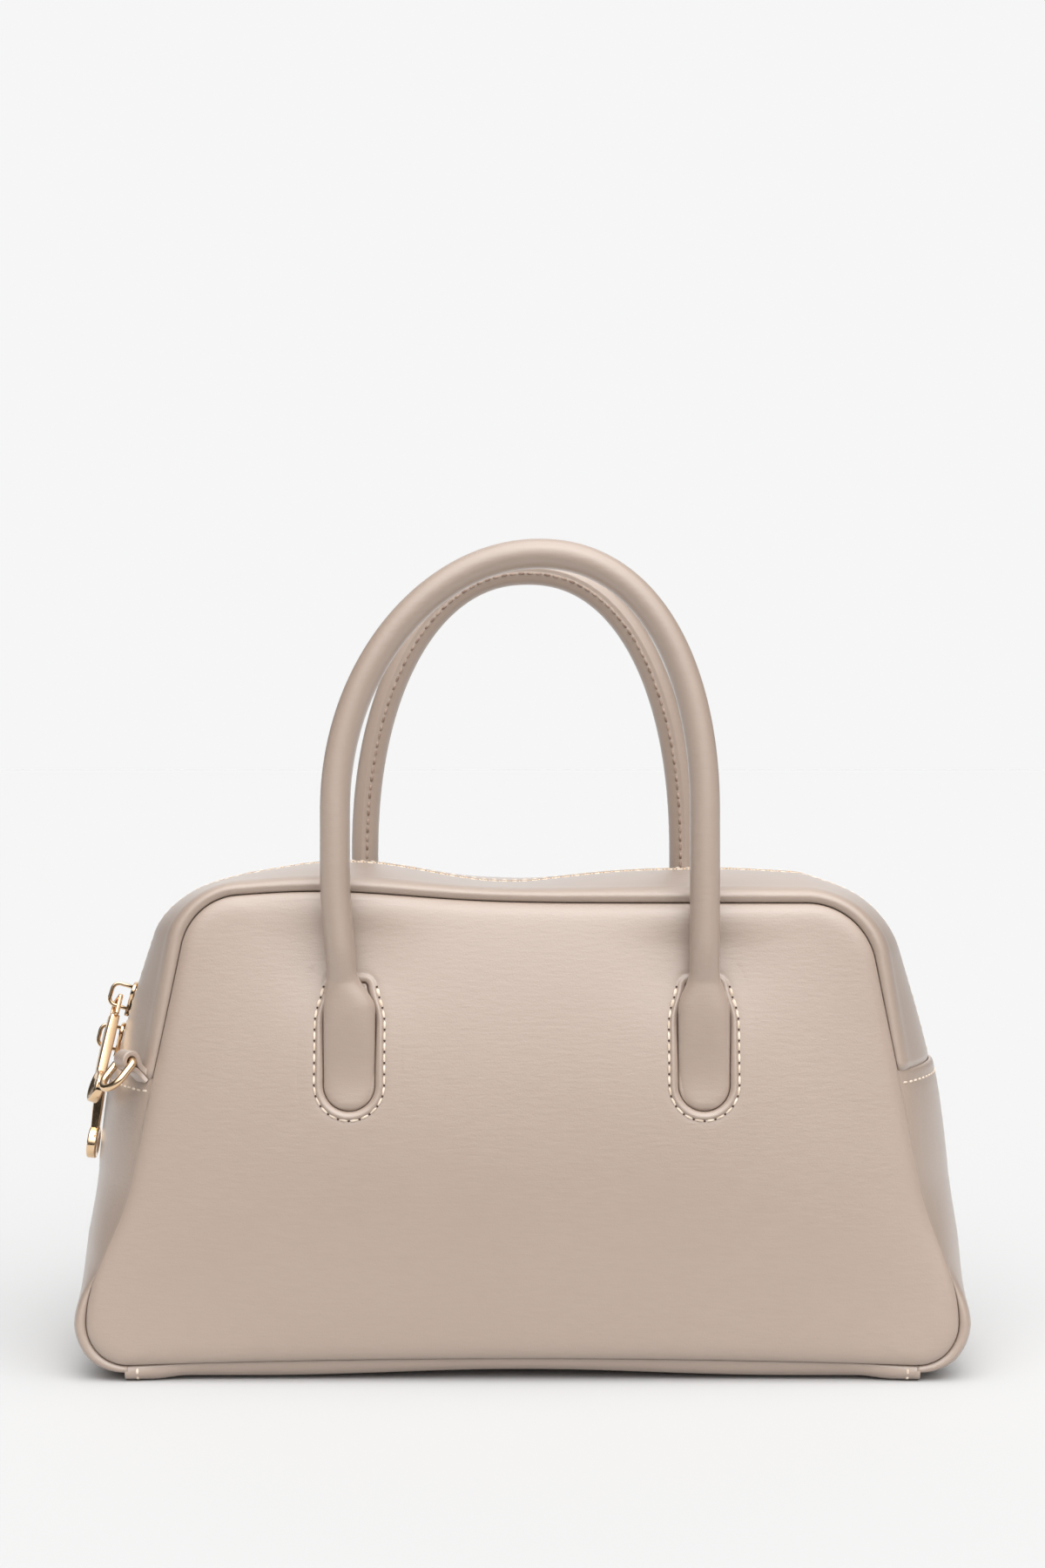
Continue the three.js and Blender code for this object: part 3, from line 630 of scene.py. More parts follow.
@dataclass(frozen=True)
class WovenTape(RibbedFibre):
    """Polyester zip tape in a herringbone weave: matt, its tone varied by slanting ribs."""

    name: str = "polyester_tape_woven"
    colour: str = "#b9a597"
    deep: str = "#998575"
    wave_mm: float = 5.655
    slant: tuple[float, float, float] = (0.4, 0.3, 0.8)
    waver: float = 0.6
    bump: float = 0.5
    bump_depth_mm: float = 0.3
    roughness: float = 0.9


@dataclass(frozen=True)
class MattFinish:
    """A matt surface of one colour."""

    name: str
    colour: str
    gloss: float

    def make(self) -> bpy.types.Material:
        """Make the material.

        Returns:
            The material.
        """
        material, _, shader = blank_material(self.name)
        shader.inputs["Base Color"].default_value = linear(self.colour)
        shader.inputs["Roughness"].default_value = 1.0
        shader.inputs["Specular IOR Level"].default_value = self.gloss
        return material


@dataclass(frozen=True)
class NeedleHole(MattFinish):
    """Shade inside a needle hole in leather: dark brown with next to no shine."""

    name: str = "leather_shade_in_needle_hole"
    colour: str = "#54433a"
    gloss: float = 0.5


@dataclass(frozen=True)
class StudioPaper(MattFinish):
    """Matt paper of a studio: plain, with no shine."""

    name: str = "studio_paper_matt"
    colour: str = "#c5c5c5"
    gloss: float = 0.0


@dataclass
class Finishes:
    """The materials of the bag, each made once."""

    leather: bpy.types.Material = field(default_factory=lambda: SmoothLeather().make())
    gold: bpy.types.Material = field(default_factory=lambda: GoldPlate().make())
    thread: bpy.types.Material = field(
        default_factory=lambda: SewingThread("polyester_thread_twisted_light", "#e6d7c6", "#d0bda9").make())
    # The same thread made darker for the handles' stitches: painted shade, for stitches that lie in shade
    shaded_thread: bpy.types.Material = field(
        default_factory=lambda: SewingThread("polyester_thread_twisted_painted_shade", "#a08b7c", "#80695b").make())
    tape: bpy.types.Material = field(default_factory=lambda: WovenTape().make())
    hole: bpy.types.Material = field(default_factory=lambda: NeedleHole().make())


def add_piece(
    name: str, patch: Patch, material: bpy.types.Material, body: str = "bag",
    stands_for: tuple[str, ...] = (), wall: float = 0.0,
) -> None:
    """Make an object of a surface and give it to a body of the bag.

    Args:
        name: the object's name.
        patch: its surface.
        material: its finish.
        body: the body that it moves with.
        stands_for: the solids that it is shown in place of.
        wall: thickness of a wall to grow inwards from an open surface.
    """
    mesh = bpy.data.meshes.new(name)
    faces = [row for block in patch.faces for row in block.tolist()]
    mesh.from_pydata((patch.points * MM).tolist(), [], faces)
    mesh.polygons.foreach_set("use_smooth", np.ones(len(mesh.polygons), bool))
    mesh.materials.append(material)
    mesh.update()
    piece = bpy.data.objects.new(name, mesh)
    bpy.context.scene.collection.objects.link(piece)
    if wall > 0:
        thicken = piece.modifiers.new("wall", "SOLIDIFY")
        thicken.thickness = wall * MM
        thicken.offset = -1.0
    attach(piece, body)
    if stands_for:
        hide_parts(*stands_for)
    LOG.info("%s: %d faces", name, len(faces))


# Form of the body


@dataclass(frozen=True)
class EndForm:
    """One end of the body: half widths of the seam, the turned edge, and how far the gusset swells."""

    flare_x: float
    top_x: float
    top_corner: float
    fold_height: float
    crown: tuple[float, ...]


@dataclass(frozen=True)
class Seam:
    """Places on the seam in X and Z, with the direction out of the bag there."""

    x: Array
    z: Array
    out_x: Array
    out_z: Array


@dataclass(frozen=True)
class BodyForm:
    """The soft body: its seam line, its gusset and the face of its panels, in millimetres."""

    left: EndForm = EndForm(
        flare_x=140.4, top_x=119.4, top_corner=20.0, fold_height=107.2,
        crown=(0.0, 0.0, 1.5, 8.0, 13.4, 14.4, 10.2, 4.6, 1.2, 1.4, 4.2, 5.4, 4.8))
    right: EndForm = EndForm(
        flare_x=142.4, top_x=123.0, top_corner=25.0, fold_height=110.2,
        crown=(0.0, 0.0, 1.5, 7.5, 12.0, 12.4, 9.0, 5.6, 3.4, 4.7, 6.0, 5.9, 4.8))
    crown_stations: tuple[float, ...] = (0.0, 1.0, 2.0, 2.5, 3.0, 3.5, 4.0, 4.4, 4.75, 5.0, 5.25, 5.5, 6.0)
    bottom_half_width: float = 155.4
    bottom_corner: float = 15.0
    end_height: float = 6.0
    middle_height: float = 8.5
    flare_height: float = 70.0
    flare_ease: float = 20.0
    heel_ease: float = 18.0
    top_height: float = 169.5
    rise_x: float = -74.0
    rise_reach: float = 33.0
    rise_height: float = 4.2
    rise_from: float = 120.0
    depth_bottom: float = 57.0
    depth_top: float = 44.0
    roll_height: float = 5.0
    roll_width: float = 5.5
    roll_undercut: float = 4.4
    dip_x: float = -10.5
    dip_reach: float = 24.0
    dip_depth: float = 4.2
    arch_reach: float = 95.0
    arch_height: float = 2.2
    sole_height: float = 1.2
    sole_from: float = 120.0
    sole_to: float = 132.0
    panel_gap: float = 0.4
    panel_edge_depth: float = 2.8
    panel_edge_soft: float = 3.4
    panel_edge_reach: float = 16.0
    panel_crown: float = 8.6
    panel_middle: float = 84.0
    crown_middle: float = 88.0
    crown_half_height: float = 82.0
    crown_bottom_width: float = 155.0
    crown_top_width: float = 120.0
    dent_places: tuple[float, ...] = (-62.0, 64.6)
    dent_height: float = 150.0
    dent_half_width: float = 15.0
    dent_half_height: float = 13.0
    dent_depth: float = 2.4

    def _shoulder(self, end: EndForm) -> tuple[Array, Array, float]:
        """Work out the top corner of one end.

        Args:
            end: which end.

        Returns:
            Where the side meets it, its middle and its start angle.
        """
        flare = np.array([end.flare_x, self.flare_height])
        corner = np.array([end.top_x, self.top_height])
        up_side = unit(corner - flare)
        tangent = end.top_corner * math.tan(math.acos(-up_side[0]) / 2.0)
        shoulder = corner - up_side * tangent
        middle = corner - np.array([tangent, end.top_corner])
        ray = shoulder - middle
        return shoulder, middle, math.atan2(ray[1], ray[0])

    def _half_seam(self, end: EndForm, station: Array) -> tuple[Array, Array]:
        """Give points and directions on half of the seam.

        Its stretches are a parabola along the bottom, an arc at the lower corner, a flare, a straight side,
        an arc at the top corner and a line to the middle of the top. Each runs over one unit of station.

        Args:
            end: which end.
            station: places from 0 at the middle of the bottom to 6 at the middle of the top.

        Returns:
            Points and unit directions in X and Z.
        """
        foot = np.array([self.bottom_half_width - self.bottom_corner, self.end_height])
        heel = np.array([self.bottom_half_width, self.end_height + self.bottom_corner])
        flare = np.array([end.flare_x, self.flare_height])
        shoulder, middle, angle = self._shoulder(end)
        up_side = unit(shoulder - flare)
        bottom = np.array([0.0, self.middle_height])
        index = np.clip(np.floor(station), 0.0, TOP_CORNER)
        share = (station - index)[..., None]
        stretches = [
            bezier((bottom, np.array([foot[0] / 2.0, self.middle_height]), foot), share),
            arc(np.array([foot[0], heel[1]]), self.bottom_corner, -math.pi / 2.0, 0.0, share),
            bezier((heel, heel + [0.0, self.heel_ease], flare - up_side * self.flare_ease, flare), share),
            bezier((flare, shoulder), share),
            arc(middle, end.top_corner, angle, math.pi / 2.0, share),
            bezier((np.array([middle[0], self.top_height]), np.array([0.0, self.top_height])), share),
        ]
        here = [(index == number)[..., None] for number in range(len(stretches))]
        points = np.select(here, [points for points, _ in stretches])
        return points, unit(np.select(here, [along for _, along in stretches]))

    def seam(self, side: Any, station: Any) -> Seam:
        """Give places on the seam.

        Args:
            side: 1 for right, -1 for left.
            station: stations along it.

        Returns:
            The places.
        """
        side, station = np.broadcast_arrays(np.asarray(side, float), np.asarray(station, float))
        on_right = (side > 0)[..., None]
        right, left = self._half_seam(self.right, station), self._half_seam(self.left, station)
        flat, along = np.where(on_right, right[0], left[0]), np.where(on_right, right[1], left[1])
        x = side * flat[..., 0]
        rise = self.rise_height * bell(x - self.rise_x, self.rise_reach)
        z = flat[..., 1] + rise * smooth(flat[..., 1], self.rise_from, self.top_height)
        return Seam(x, z, side * along[..., 1], -along[..., 0])

    def half_depth(self, z: Any) -> Array:
        """Give half the depth of the body at the seam, which is even along Z."""
        share = (np.asarray(z) - self.end_height) / (self.top_height - self.end_height)
        return mix(self.depth_bottom, self.depth_top, share)

    def bulge(self, side: Any, station: Any, y: Any, rolled: Any = 1.0) -> Array:
        """Give how far the gusset stands out: a round edge at the seam and a parabola across the depth.

        Args:
            side: 1 for right, -1 for left.
            station: places along the seam.
            y: depths.
            rolled: share of the round edge that is there. The rest of its height goes to the parabola.

        Returns:
            The distances out from the seam.
        """
        seam = self.seam(side, station)
        half = self.half_depth(seam.z)
        on_right = np.broadcast_to(np.asarray(side) > 0, seam.x.shape)
        station = np.broadcast_to(station, seam.x.shape)
        crown = np.where(on_right, through_rows(self.crown_stations, self.right.crown, station),
                         through_rows(self.crown_stations, self.left.crown, station))
        on_top = smooth(station, SHOULDER, TOP_CORNER)
        dip = self.dip_depth * bell(seam.x - self.dip_x, self.dip_reach) * on_top
        roll = rolled * self.roll_height * quarter_round((half - np.abs(y)) / self.roll_width)
        return roll + (crown - dip + (1.0 - rolled) * self.roll_height) * (1.0 - (y / half) ** 2)

    def overhang(self, half: Array, y: Array, rolled: Any = 1.0) -> Array:
        """Give the depth y with the round edge swollen over the seam by u sin a cos a, a its angle."""
        share = np.clip((half - np.abs(y)) / self.roll_width, 0.0, 1.0)
        return y + np.sign(y) * rolled * self.roll_undercut * quarter_round(share) * (1.0 - share)

    def gusset(self, side: Any, station: Any, y: Any, lift: Any = 0.0, rolled: Any = 1.0) -> Array:
        """Give points of the gusset.

        Args:
            side: 1 for right, -1 for left.
            station: places along the seam.
            y: depths.
            lift: how far they are raised out of the bag.
            rolled: share of the round edge there.

        Returns:
            The points.
        """
        seam = self.seam(side, station)
        out = self.bulge(side, station, y, rolled) + lift
        depth = self.overhang(self.half_depth(seam.z), np.broadcast_to(y, out.shape), rolled)
        return np.stack([seam.x + seam.out_x * out, depth, seam.z + seam.out_z * out], axis=-1)

    def end(self, side: int) -> EndForm:
        """Give the end on one side."""
        return self.right if side > 0 else self.left

    def side_length(self, side: int) -> float:
        """Give the length of the straight side of the seam."""
        end = self.end(side)
        return float(np.linalg.norm(self._shoulder(end)[0] - [end.flare_x, self.flare_height]))

    def swollen_station(self, side: int, height: float, y: Any) -> Array:
        """Give the station where the gusset, with half of its round edge, reaches a height.

        Args:
            side: 1 for right, -1 for left.
            height: the height.
            y: depths.

        Returns:
            The stations.
        """
        top = self._shoulder(self.end(side))[0][1]
        scale = 1.0 / (top - self.flare_height)
        guess = np.broadcast_to(FLARE + (height - self.flare_height) * scale, np.shape(y))
        drop = self.seam(side, guess).out_z * self.bulge(side, guess, y, 0.5)
        return FLARE + (height - drop - self.flare_height) * scale

    def fold_station(self, side: int, y: Any) -> Array:
        """Give the station where the level turned edge crosses a depth y."""
        return self.swollen_station(side, self.end(side).fold_height, y)

    def floor(self, x: Any) -> Array:
        """Give the height of the base over the floor: down at both ends, with an arch of cos^2 between.

        Args:
            x: places along X.

        Returns:
            The heights.
        """
        sole = self.sole_height * (1.0 - smooth(np.abs(x), self.sole_from, self.sole_to))
        share = np.minimum(np.abs(x) / self.arch_reach, 1.0)
        return sole + self.arch_height * np.cos(share * math.pi / 2.0) ** 2

    def ring(self, count: int) -> Seam:
        """Give the whole seam, counter-clockwise from the middle of the bottom, in even steps.

        Args:
            count: how many places.

        Returns:
            The places.
        """
        station = np.linspace(0.0, TOP_MIDDLE, 1500)
        right, left = self.seam(1, station), self.seam(-1, station[::-1])
        joined = np.stack([
            np.r_[getattr(right, key), getattr(left, key)[1:]] for key in ("x", "z", "out_x", "out_z")
        ], axis=-1)
        lengths = running_length(joined[:, :2])
        even = read_path(joined, lengths, np.linspace(0.0, lengths[-1], count, endpoint=False))
        out = unit(even[:, 2:])
        return Seam(even[:, 0], even[:, 1], out[:, 0], out[:, 1])

    def panel_face(self, x: Array, z: Array, edge: Array) -> Array:
        """Give a panel's distance from mid depth.

        That is the seam's, a round edge as the square root of tanh(e / s), a crown of
        (1 - |u|^3) (1 - v^2) over the panel's width and height, and soft dents.

        Args:
            x: places along X.
            z: heights.
            edge: distances in from the seam.

        Returns:
            The distances.
        """
        rim = self.panel_edge_depth * np.sqrt(np.tanh(np.maximum(edge, 0.0) / self.panel_edge_soft))
        up = np.clip((z - self.crown_middle) / self.crown_half_height, -1.0, 1.0)
        half_width = mix(self.crown_bottom_width, self.crown_top_width, (up + 1.0) / 2.0)
        across = np.minimum(np.abs(x) / half_width, 1.0)
        swell = self.panel_crown * (1.0 - across**3) * (1.0 - up**2)
        dents = sum(bell(x - place, self.dent_half_width) for place in self.dent_places)
        dent = self.dent_depth * dents * bell(z - self.dent_height, self.dent_half_height)
        dent = dent * smooth(edge, 0.0, self.panel_edge_reach)
        return self.half_depth(z) + self.panel_gap + rim + swell - dent

    def panel_at(self, x: Any, z: Any) -> Array:
        """Give a panel's distance from mid depth at any place, by the ray to it from the panel's middle.

        Args:
            x: places along X.
            z: heights.

        Returns:
            The distances.
        """
        ring = self.ring(900)
        angle = np.unwrap(np.arctan2(ring.z - self.panel_middle, ring.x))
        radius = np.hypot(ring.x, ring.z - self.panel_middle)
        reach = ring.x * ring.out_x + (ring.z - self.panel_middle) * ring.out_z
        here = np.arctan2(np.asarray(z, float) - self.panel_middle, np.asarray(x, float))
        here = angle[0] + np.mod(here - angle[0], 2.0 * math.pi)
        share = np.hypot(x, np.asarray(z) - self.panel_middle) / np.interp(here, angle, radius)
        edge = (1.0 - share) * np.interp(here, angle, reach)
        return self.panel_face(np.asarray(x, float), np.asarray(z, float), edge)


# Sewing


@dataclass(frozen=True)
class Stitching:
    """A row of stitches: slim loops of thread that dip into the leather at both ends."""

    pitch: float = 3.9
    length: float = 3.35
    width: float = 0.85
    height: float = 0.5
    rings: int = 7
    sides: int = 8
    end_share: float = 0.98
    sunk: float = 0.75
    flatness: float = 0.6
    hole_radius: float = 0.42
    hole_profile: tuple[tuple[float, float], ...] = ((0.35, 0.14), (0.8, 0.1), (1.0, 0.0), (0.8, -0.1))

    def stitch(self) -> Patch:
        """Make one stitch along X: a round bar whose radius is (1 - |u|^3)^(1/2), bowed up by 1 - u^2.

        Returns:
            The stitch.
        """
        along = np.linspace(-self.end_share, self.end_share, self.rings)
        around = np.linspace(0.0, 2.0 * math.pi, self.sides, endpoint=False)
        radius = np.sqrt(1.0 - np.abs(along) ** 3)[:, None]
        bow = (1.0 - along**2)[:, None] - self.sunk
        rings = np.stack([
            np.broadcast_to(self.length / 2.0 * along[:, None], (self.rings, self.sides)),
            self.width / 2.0 * radius * np.cos(around),
            self.height * (self.flatness * radius * np.sin(around) + bow),
        ], axis=-1)
        return Patch.solid(rings)

    def frames(self, path: Array, lifted: Array, between: float) -> tuple[Array, Array]:
        """Give places and axes at equal steps along a path.

        Args:
            path: points on the leather.
            lifted: the same points raised out of it.
            between: 0.5 for the middles of the stitches and 0 for the holes between them.

        Returns:
            Places, and matrices whose columns run along the path, across it and out of the leather.
        """
        lengths = running_length(path)
        count = max(int(round(lengths[-1] / self.pitch)), 1)
        at = (np.arange(count + (between == 0.0)) + between) * lengths[-1] / count
        reach = min(self.length, lengths[-1]) / 2.0
        ahead = read_path(path, lengths, np.minimum(at + reach, lengths[-1]))
        behind = read_path(path, lengths, np.maximum(at - reach, 0.0))
        along = unit(ahead - behind)
        across = unit(np.cross(read_path(lifted - path, lengths, at), along))
        places = (ahead + behind) / 2.0 if between else read_path(path, lengths, at)
        return places, np.stack([along, across, np.cross(along, across)], axis=-1)

    def sew(self, path: Array, lifted: Array, size: float = 1.0) -> Patch:
        """Sew along a path.

        Args:
            path: points on the leather.
            lifted: the same points raised out of it.
            size: thickness of the thread, as a multiple.

        Returns:
            All the stitches as one surface.
        """
        shape = self.stitch()
        shape = Patch(shape.points * [1.0, size, size], shape.faces)
        return shape.copies(*self.frames(path, lifted, 0.5))

    def punch(self, path: Array, lifted: Array) -> Patch:
        """Make the needle holes along a path: flat dark lenses between the stitches.

        Args:
            path: points on the leather.
            lifted: the same points raised out of it.

        Returns:
            All the holes as one surface, painted with the shade in each hole.
        """
        share, height = np.array(self.hole_profile).T
        lens = lathe_along_z(self.hole_radius * share, height, self.sides)
        return lens.copies(*self.frames(path, lifted, 0.0))


# Panels


@dataclass(frozen=True)
class TabWindow:
    """Window that a handle's tab shows through: round below and narrower above, with a raised turned rim."""

    half_width: float = 9.6
    round_height: float = 105.8
    narrow_from: float = 127.0
    top_half_width: float = 6.6
    top: float = 142.0
    corner: float = 1.8
    flare: float = 1.0
    flare_above: float = 6.0
    flare_below: float = 5.0
    rim_sunk: float = 0.7
    rim_sunk_from: float = 4.6
    rim_sunk_to: float = 7.4
    tab_sunk: float = 3.0
    tab_sunk_from: float = 0.2
    tab_sunk_to: float = 2.4
    top_flat: float = 0.4
    top_flat_from: float = 9.0
    top_flat_to: float = 1.0
    stitch_distance: float = 2.9
    stitch_top: float = 140.5
    points_round: int = 170

    def outline(self) -> tuple[Array, Array]:
        """Give the closed outline about its own middle, clockwise from the middle of the top.

        Returns:
            Its points in X and Z, and the directions out of the window there.
        """
        share = np.linspace(0.0, 1.0, 60)[:, None]
        square = self.top - self.corner
        inset = self.top_half_width - self.corner
        bend, _ = arc(np.array([inset, square]), self.corner, math.pi / 2.0, 0.0, share)
        side, _ = bezier((
            np.array([self.top_half_width, square]),
            np.array([self.top_half_width + self.flare, square - self.flare_above]),
            np.array([self.half_width, self.narrow_from + self.flare_below]),
            np.array([self.half_width, self.narrow_from]),
        ), share)
        below, _ = arc(np.array([0.0, self.round_height]), self.half_width, 0.0, -math.pi / 2.0, share)
        half = np.vstack([[[0.0, self.top]], bend, side[1:], below])
        whole = np.vstack([half, (half * [-1.0, 1.0])[::-1][1:]])
        lengths = running_length(whole)
        points = read_path(whole, lengths, np.linspace(0.0, lengths[-1], self.points_round, endpoint=False))
        along = unit(np.roll(points, -1, axis=0) - np.roll(points, 1, axis=0))
        return points, np.stack([-along[:, 1], along[:, 0]], axis=-1)

    def distance(self, x: Array, z: Array) -> Array:
        """Give the distance out from the outline, negative inside, as that of a box that narrows upwards.

        Args:
            x: places from the tab's middle.
            z: heights.

        Returns:
            The distances.
        """
        low, high = self.round_height - self.half_width, self.top
        middle = (low + high) / 2.0
        half_width = mix(self.half_width, self.top_half_width, smooth(z, self.narrow_from, self.top))
        radius = np.where(z < middle, self.half_width, self.corner)
        over_x = np.abs(x) - half_width + radius
        over_z = np.abs(z - middle) - (high - low) / 2.0 + radius
        beyond = np.hypot(np.maximum(over_x, 0.0), np.maximum(over_z, 0.0))
        return np.minimum(np.maximum(over_x, over_z), 0.0) + beyond - radius

    def sunk(self, x: Array, z: Array) -> Array:
        """Give how far the panel's own sheet lies under the rim and the tab."""
        out = self.distance(x, z)
        return (self.rim_sunk * (1.0 - smooth(out, self.rim_sunk_from, self.rim_sunk_to))
                + self.tab_sunk * (1.0 - smooth(out, self.tab_sunk_from, self.tab_sunk_to)))

    def rim(self) -> tuple[Array, Array]:
        """Give the rim's profile: distances out from the window, and heights over the panel."""
        rows = np.array([
            (-0.3, -3.4), (-0.3, -1.4), (-0.25, -0.6), (0.0, 0.0), (0.4, 0.4), (0.9, 0.7), (1.4, 0.88),
            (1.8, 0.88), (2.1, 0.66), (2.4, 0.25), (2.8, -0.15), (3.2, -0.14), (3.9, -0.05), (4.8, 0.02),
            (6.0, 0.03), (7.0, 0.035), (8.0, 0.035), (9.0, 0.03),
        ])
        return rows[:, 0], rows[:, 1]

    def plate(self) -> tuple[Array, Array]:
        """Give the profile of a tab's flat root: distances in from the outline, and heights."""
        rows = np.array([(0.35, -2.8), (0.4, -1.4), (0.65, -0.85), (1.1, -0.6), (2.0, -0.5), (4.5, -0.45)])
        return rows[:, 0], rows[:, 1]


@dataclass
class Panel:
    """One crowned panel with its two windows."""

    face: Face
    tabs: tuple[float, float]
    form: BodyForm
    finishes: Finishes
    window: TabWindow = TabWindow()
    wall: float = 1.6
    columns: int = 420
    rows: int = 56
    edge_rows: int = 22
    hub_share: float = 0.02
    tack_length: float = 8.0
    tack_size: float = 1.5
    stitch_lift: float = 0.05

    def sheet(self) -> Patch:
        """Make the panel as rings that shrink from the seam to its middle, sunk under each window's rim.

        Returns:
            Its outer face.
        """
        form, middle = self.form, self.form.panel_middle
        ring = form.ring(self.columns)
        reach = ring.x * ring.out_x + (ring.z - middle) * ring.out_z
        angle = np.linspace(0.0, math.pi / 2.0, self.edge_rows)
        edge = form.panel_edge_reach * (1.0 - np.cos(angle))[:, None] / reach
        inner = np.linspace(1.0, self.hub_share, self.rows)[1:, None] * (1.0 - form.panel_edge_reach / reach)
        share = np.vstack([1.0 - edge, inner])
        x, z = share * ring.x, mix(middle, ring.z, share)
        deep = form.panel_face(x, z, (1.0 - share) * reach)
        deep = deep - sum(self.window.sunk(x - tab, z) for tab in self.tabs)
        hub = np.array([0.0, self.face.value * float(form.panel_at(0.0, middle)), middle])
        points = np.stack([x, self.face.value * deep, z], axis=-1)
        return Patch.fan_grid(points[::-1], hub).turned_out(INSIDE)

    def laid(self, flat: Array, lift: Any, tab: float) -> Array:
        """Lay places, in X and Z about a tab, on the panel and raise them by lift."""
        x, z = flat[..., 0] + tab, flat[..., 1]
        return np.stack([x, self.face.value * (self.form.panel_at(x, z) + lift), z], axis=-1)

    def rim_at(self, tab: float) -> Patch:
        """Make the raised rim round one window: its profile carried along the outline, low across the top.

        Args:
            tab: X of its tab.

        Returns:
            The rim.
        """
        window = self.window
        points, out = window.outline()
        distance, height = window.rim()
        flat = points[None] + out[None] * distance[:, None, None]
        at_top = smooth(flat[..., 1], window.top - window.top_flat_from, window.top - window.top_flat_to)
        low_top = 1.0 - window.top_flat * at_top
        lift = np.where(height[:, None] > 0.0, height[:, None] * low_top, height[:, None])
        return Patch.grid(self.laid(flat, lift, tab), close_columns=True).turned_out(INSIDE)

    def plate_at(self, tab: float) -> Patch:
        """Make the flat root of a tab, which fills one window under the handle.

        Args:
            tab: X of the tab.

        Returns:
            The root.
        """
        points, out = self.window.outline()
        distance, height = self.window.plate()
        rings = self.laid(points[None] - out[None] * distance[:, None, None], height[:, None], tab)
        return Patch.fan_grid(rings[::-1], rings[-1].mean(axis=0)).turned_out(INSIDE)

    def stitch_line(self) -> Array:
        """Give the line of the stitches round a window, about its middle and open at the top.

        Returns:
            Points in X and Z.
        """
        points, out = self.window.outline()
        line = points + out * self.window.stitch_distance
        return line[line[:, 1] < self.window.stitch_top]

    def stitches_at(self, tab: float) -> list[Patch]:
        """Sew round one window, with two heavy stitches at each end.

        Args:
            tab: X of its tab.

        Returns:
            The row and its two ends.
        """
        line = self.stitch_line()
        tack = self.tack_length
        lengths = running_length(line)
        middle_part = read_path(line, lengths, np.linspace(tack, lengths[-1] - tack, 160))
        ends = [read_path(line, lengths, np.linspace(0.0, tack, 20)),
                read_path(line, lengths, np.linspace(lengths[-1] - tack, lengths[-1], 20))]
        sewing = Stitching()
        row = sewing.sew(*self.sewn(middle_part, tab))
        return [row] + [sewing.sew(*self.sewn(part, tab), self.tack_size) for part in ends]

    def hole_shade_at(self, tab: float) -> Patch:
        """Make the needle holes between the stitches round one window.

        Args:
            tab: X of its tab.

        Returns:
            The holes, painted as the shade in each.
        """
        line = self.stitch_line()
        lengths = running_length(line)
        even = read_path(line, lengths, np.linspace(0.0, lengths[-1], 200))
        return Stitching().punch(*self.sewn(even, tab))

    def sewn(self, line: Array, tab: float) -> tuple[Array, Array]:
        """Give a line of sewing on the panel, and the same line raised out of it."""
        return self.laid(line, self.stitch_lift, tab), self.laid(line, self.stitch_lift + 1.0, tab)

    def build(self) -> None:
        """Build the panel, its rims, the roots of its tabs, its stitches and their holes."""
        finishes, side = self.finishes, self.face.name.lower()
        node = f"{side}_panel"
        add_piece(f"{node}_leather", self.sheet(), finishes.leather, stands_for=(node,), wall=self.wall)
        rims = Patch.joined([self.rim_at(tab) for tab in self.tabs])
        add_piece(f"{side}_window_rims", rims, finishes.leather)
        plates = Patch.joined([self.plate_at(tab) for tab in self.tabs])
        add_piece(f"{side}_tab_roots", plates, finishes.leather)
        sewn = Patch.joined([patch for tab in self.tabs for patch in self.stitches_at(tab)])
        add_piece(f"{side}_window_stitches", sewn, finishes.thread)
        # The dark lenses between the stitches are painted shade of the needle holes
        painted_hole_shade = Patch.joined([self.hole_shade_at(tab) for tab in self.tabs])
        add_piece(f"{side}_window_needle_holes", painted_hole_shade, finishes.hole)


# Gusset


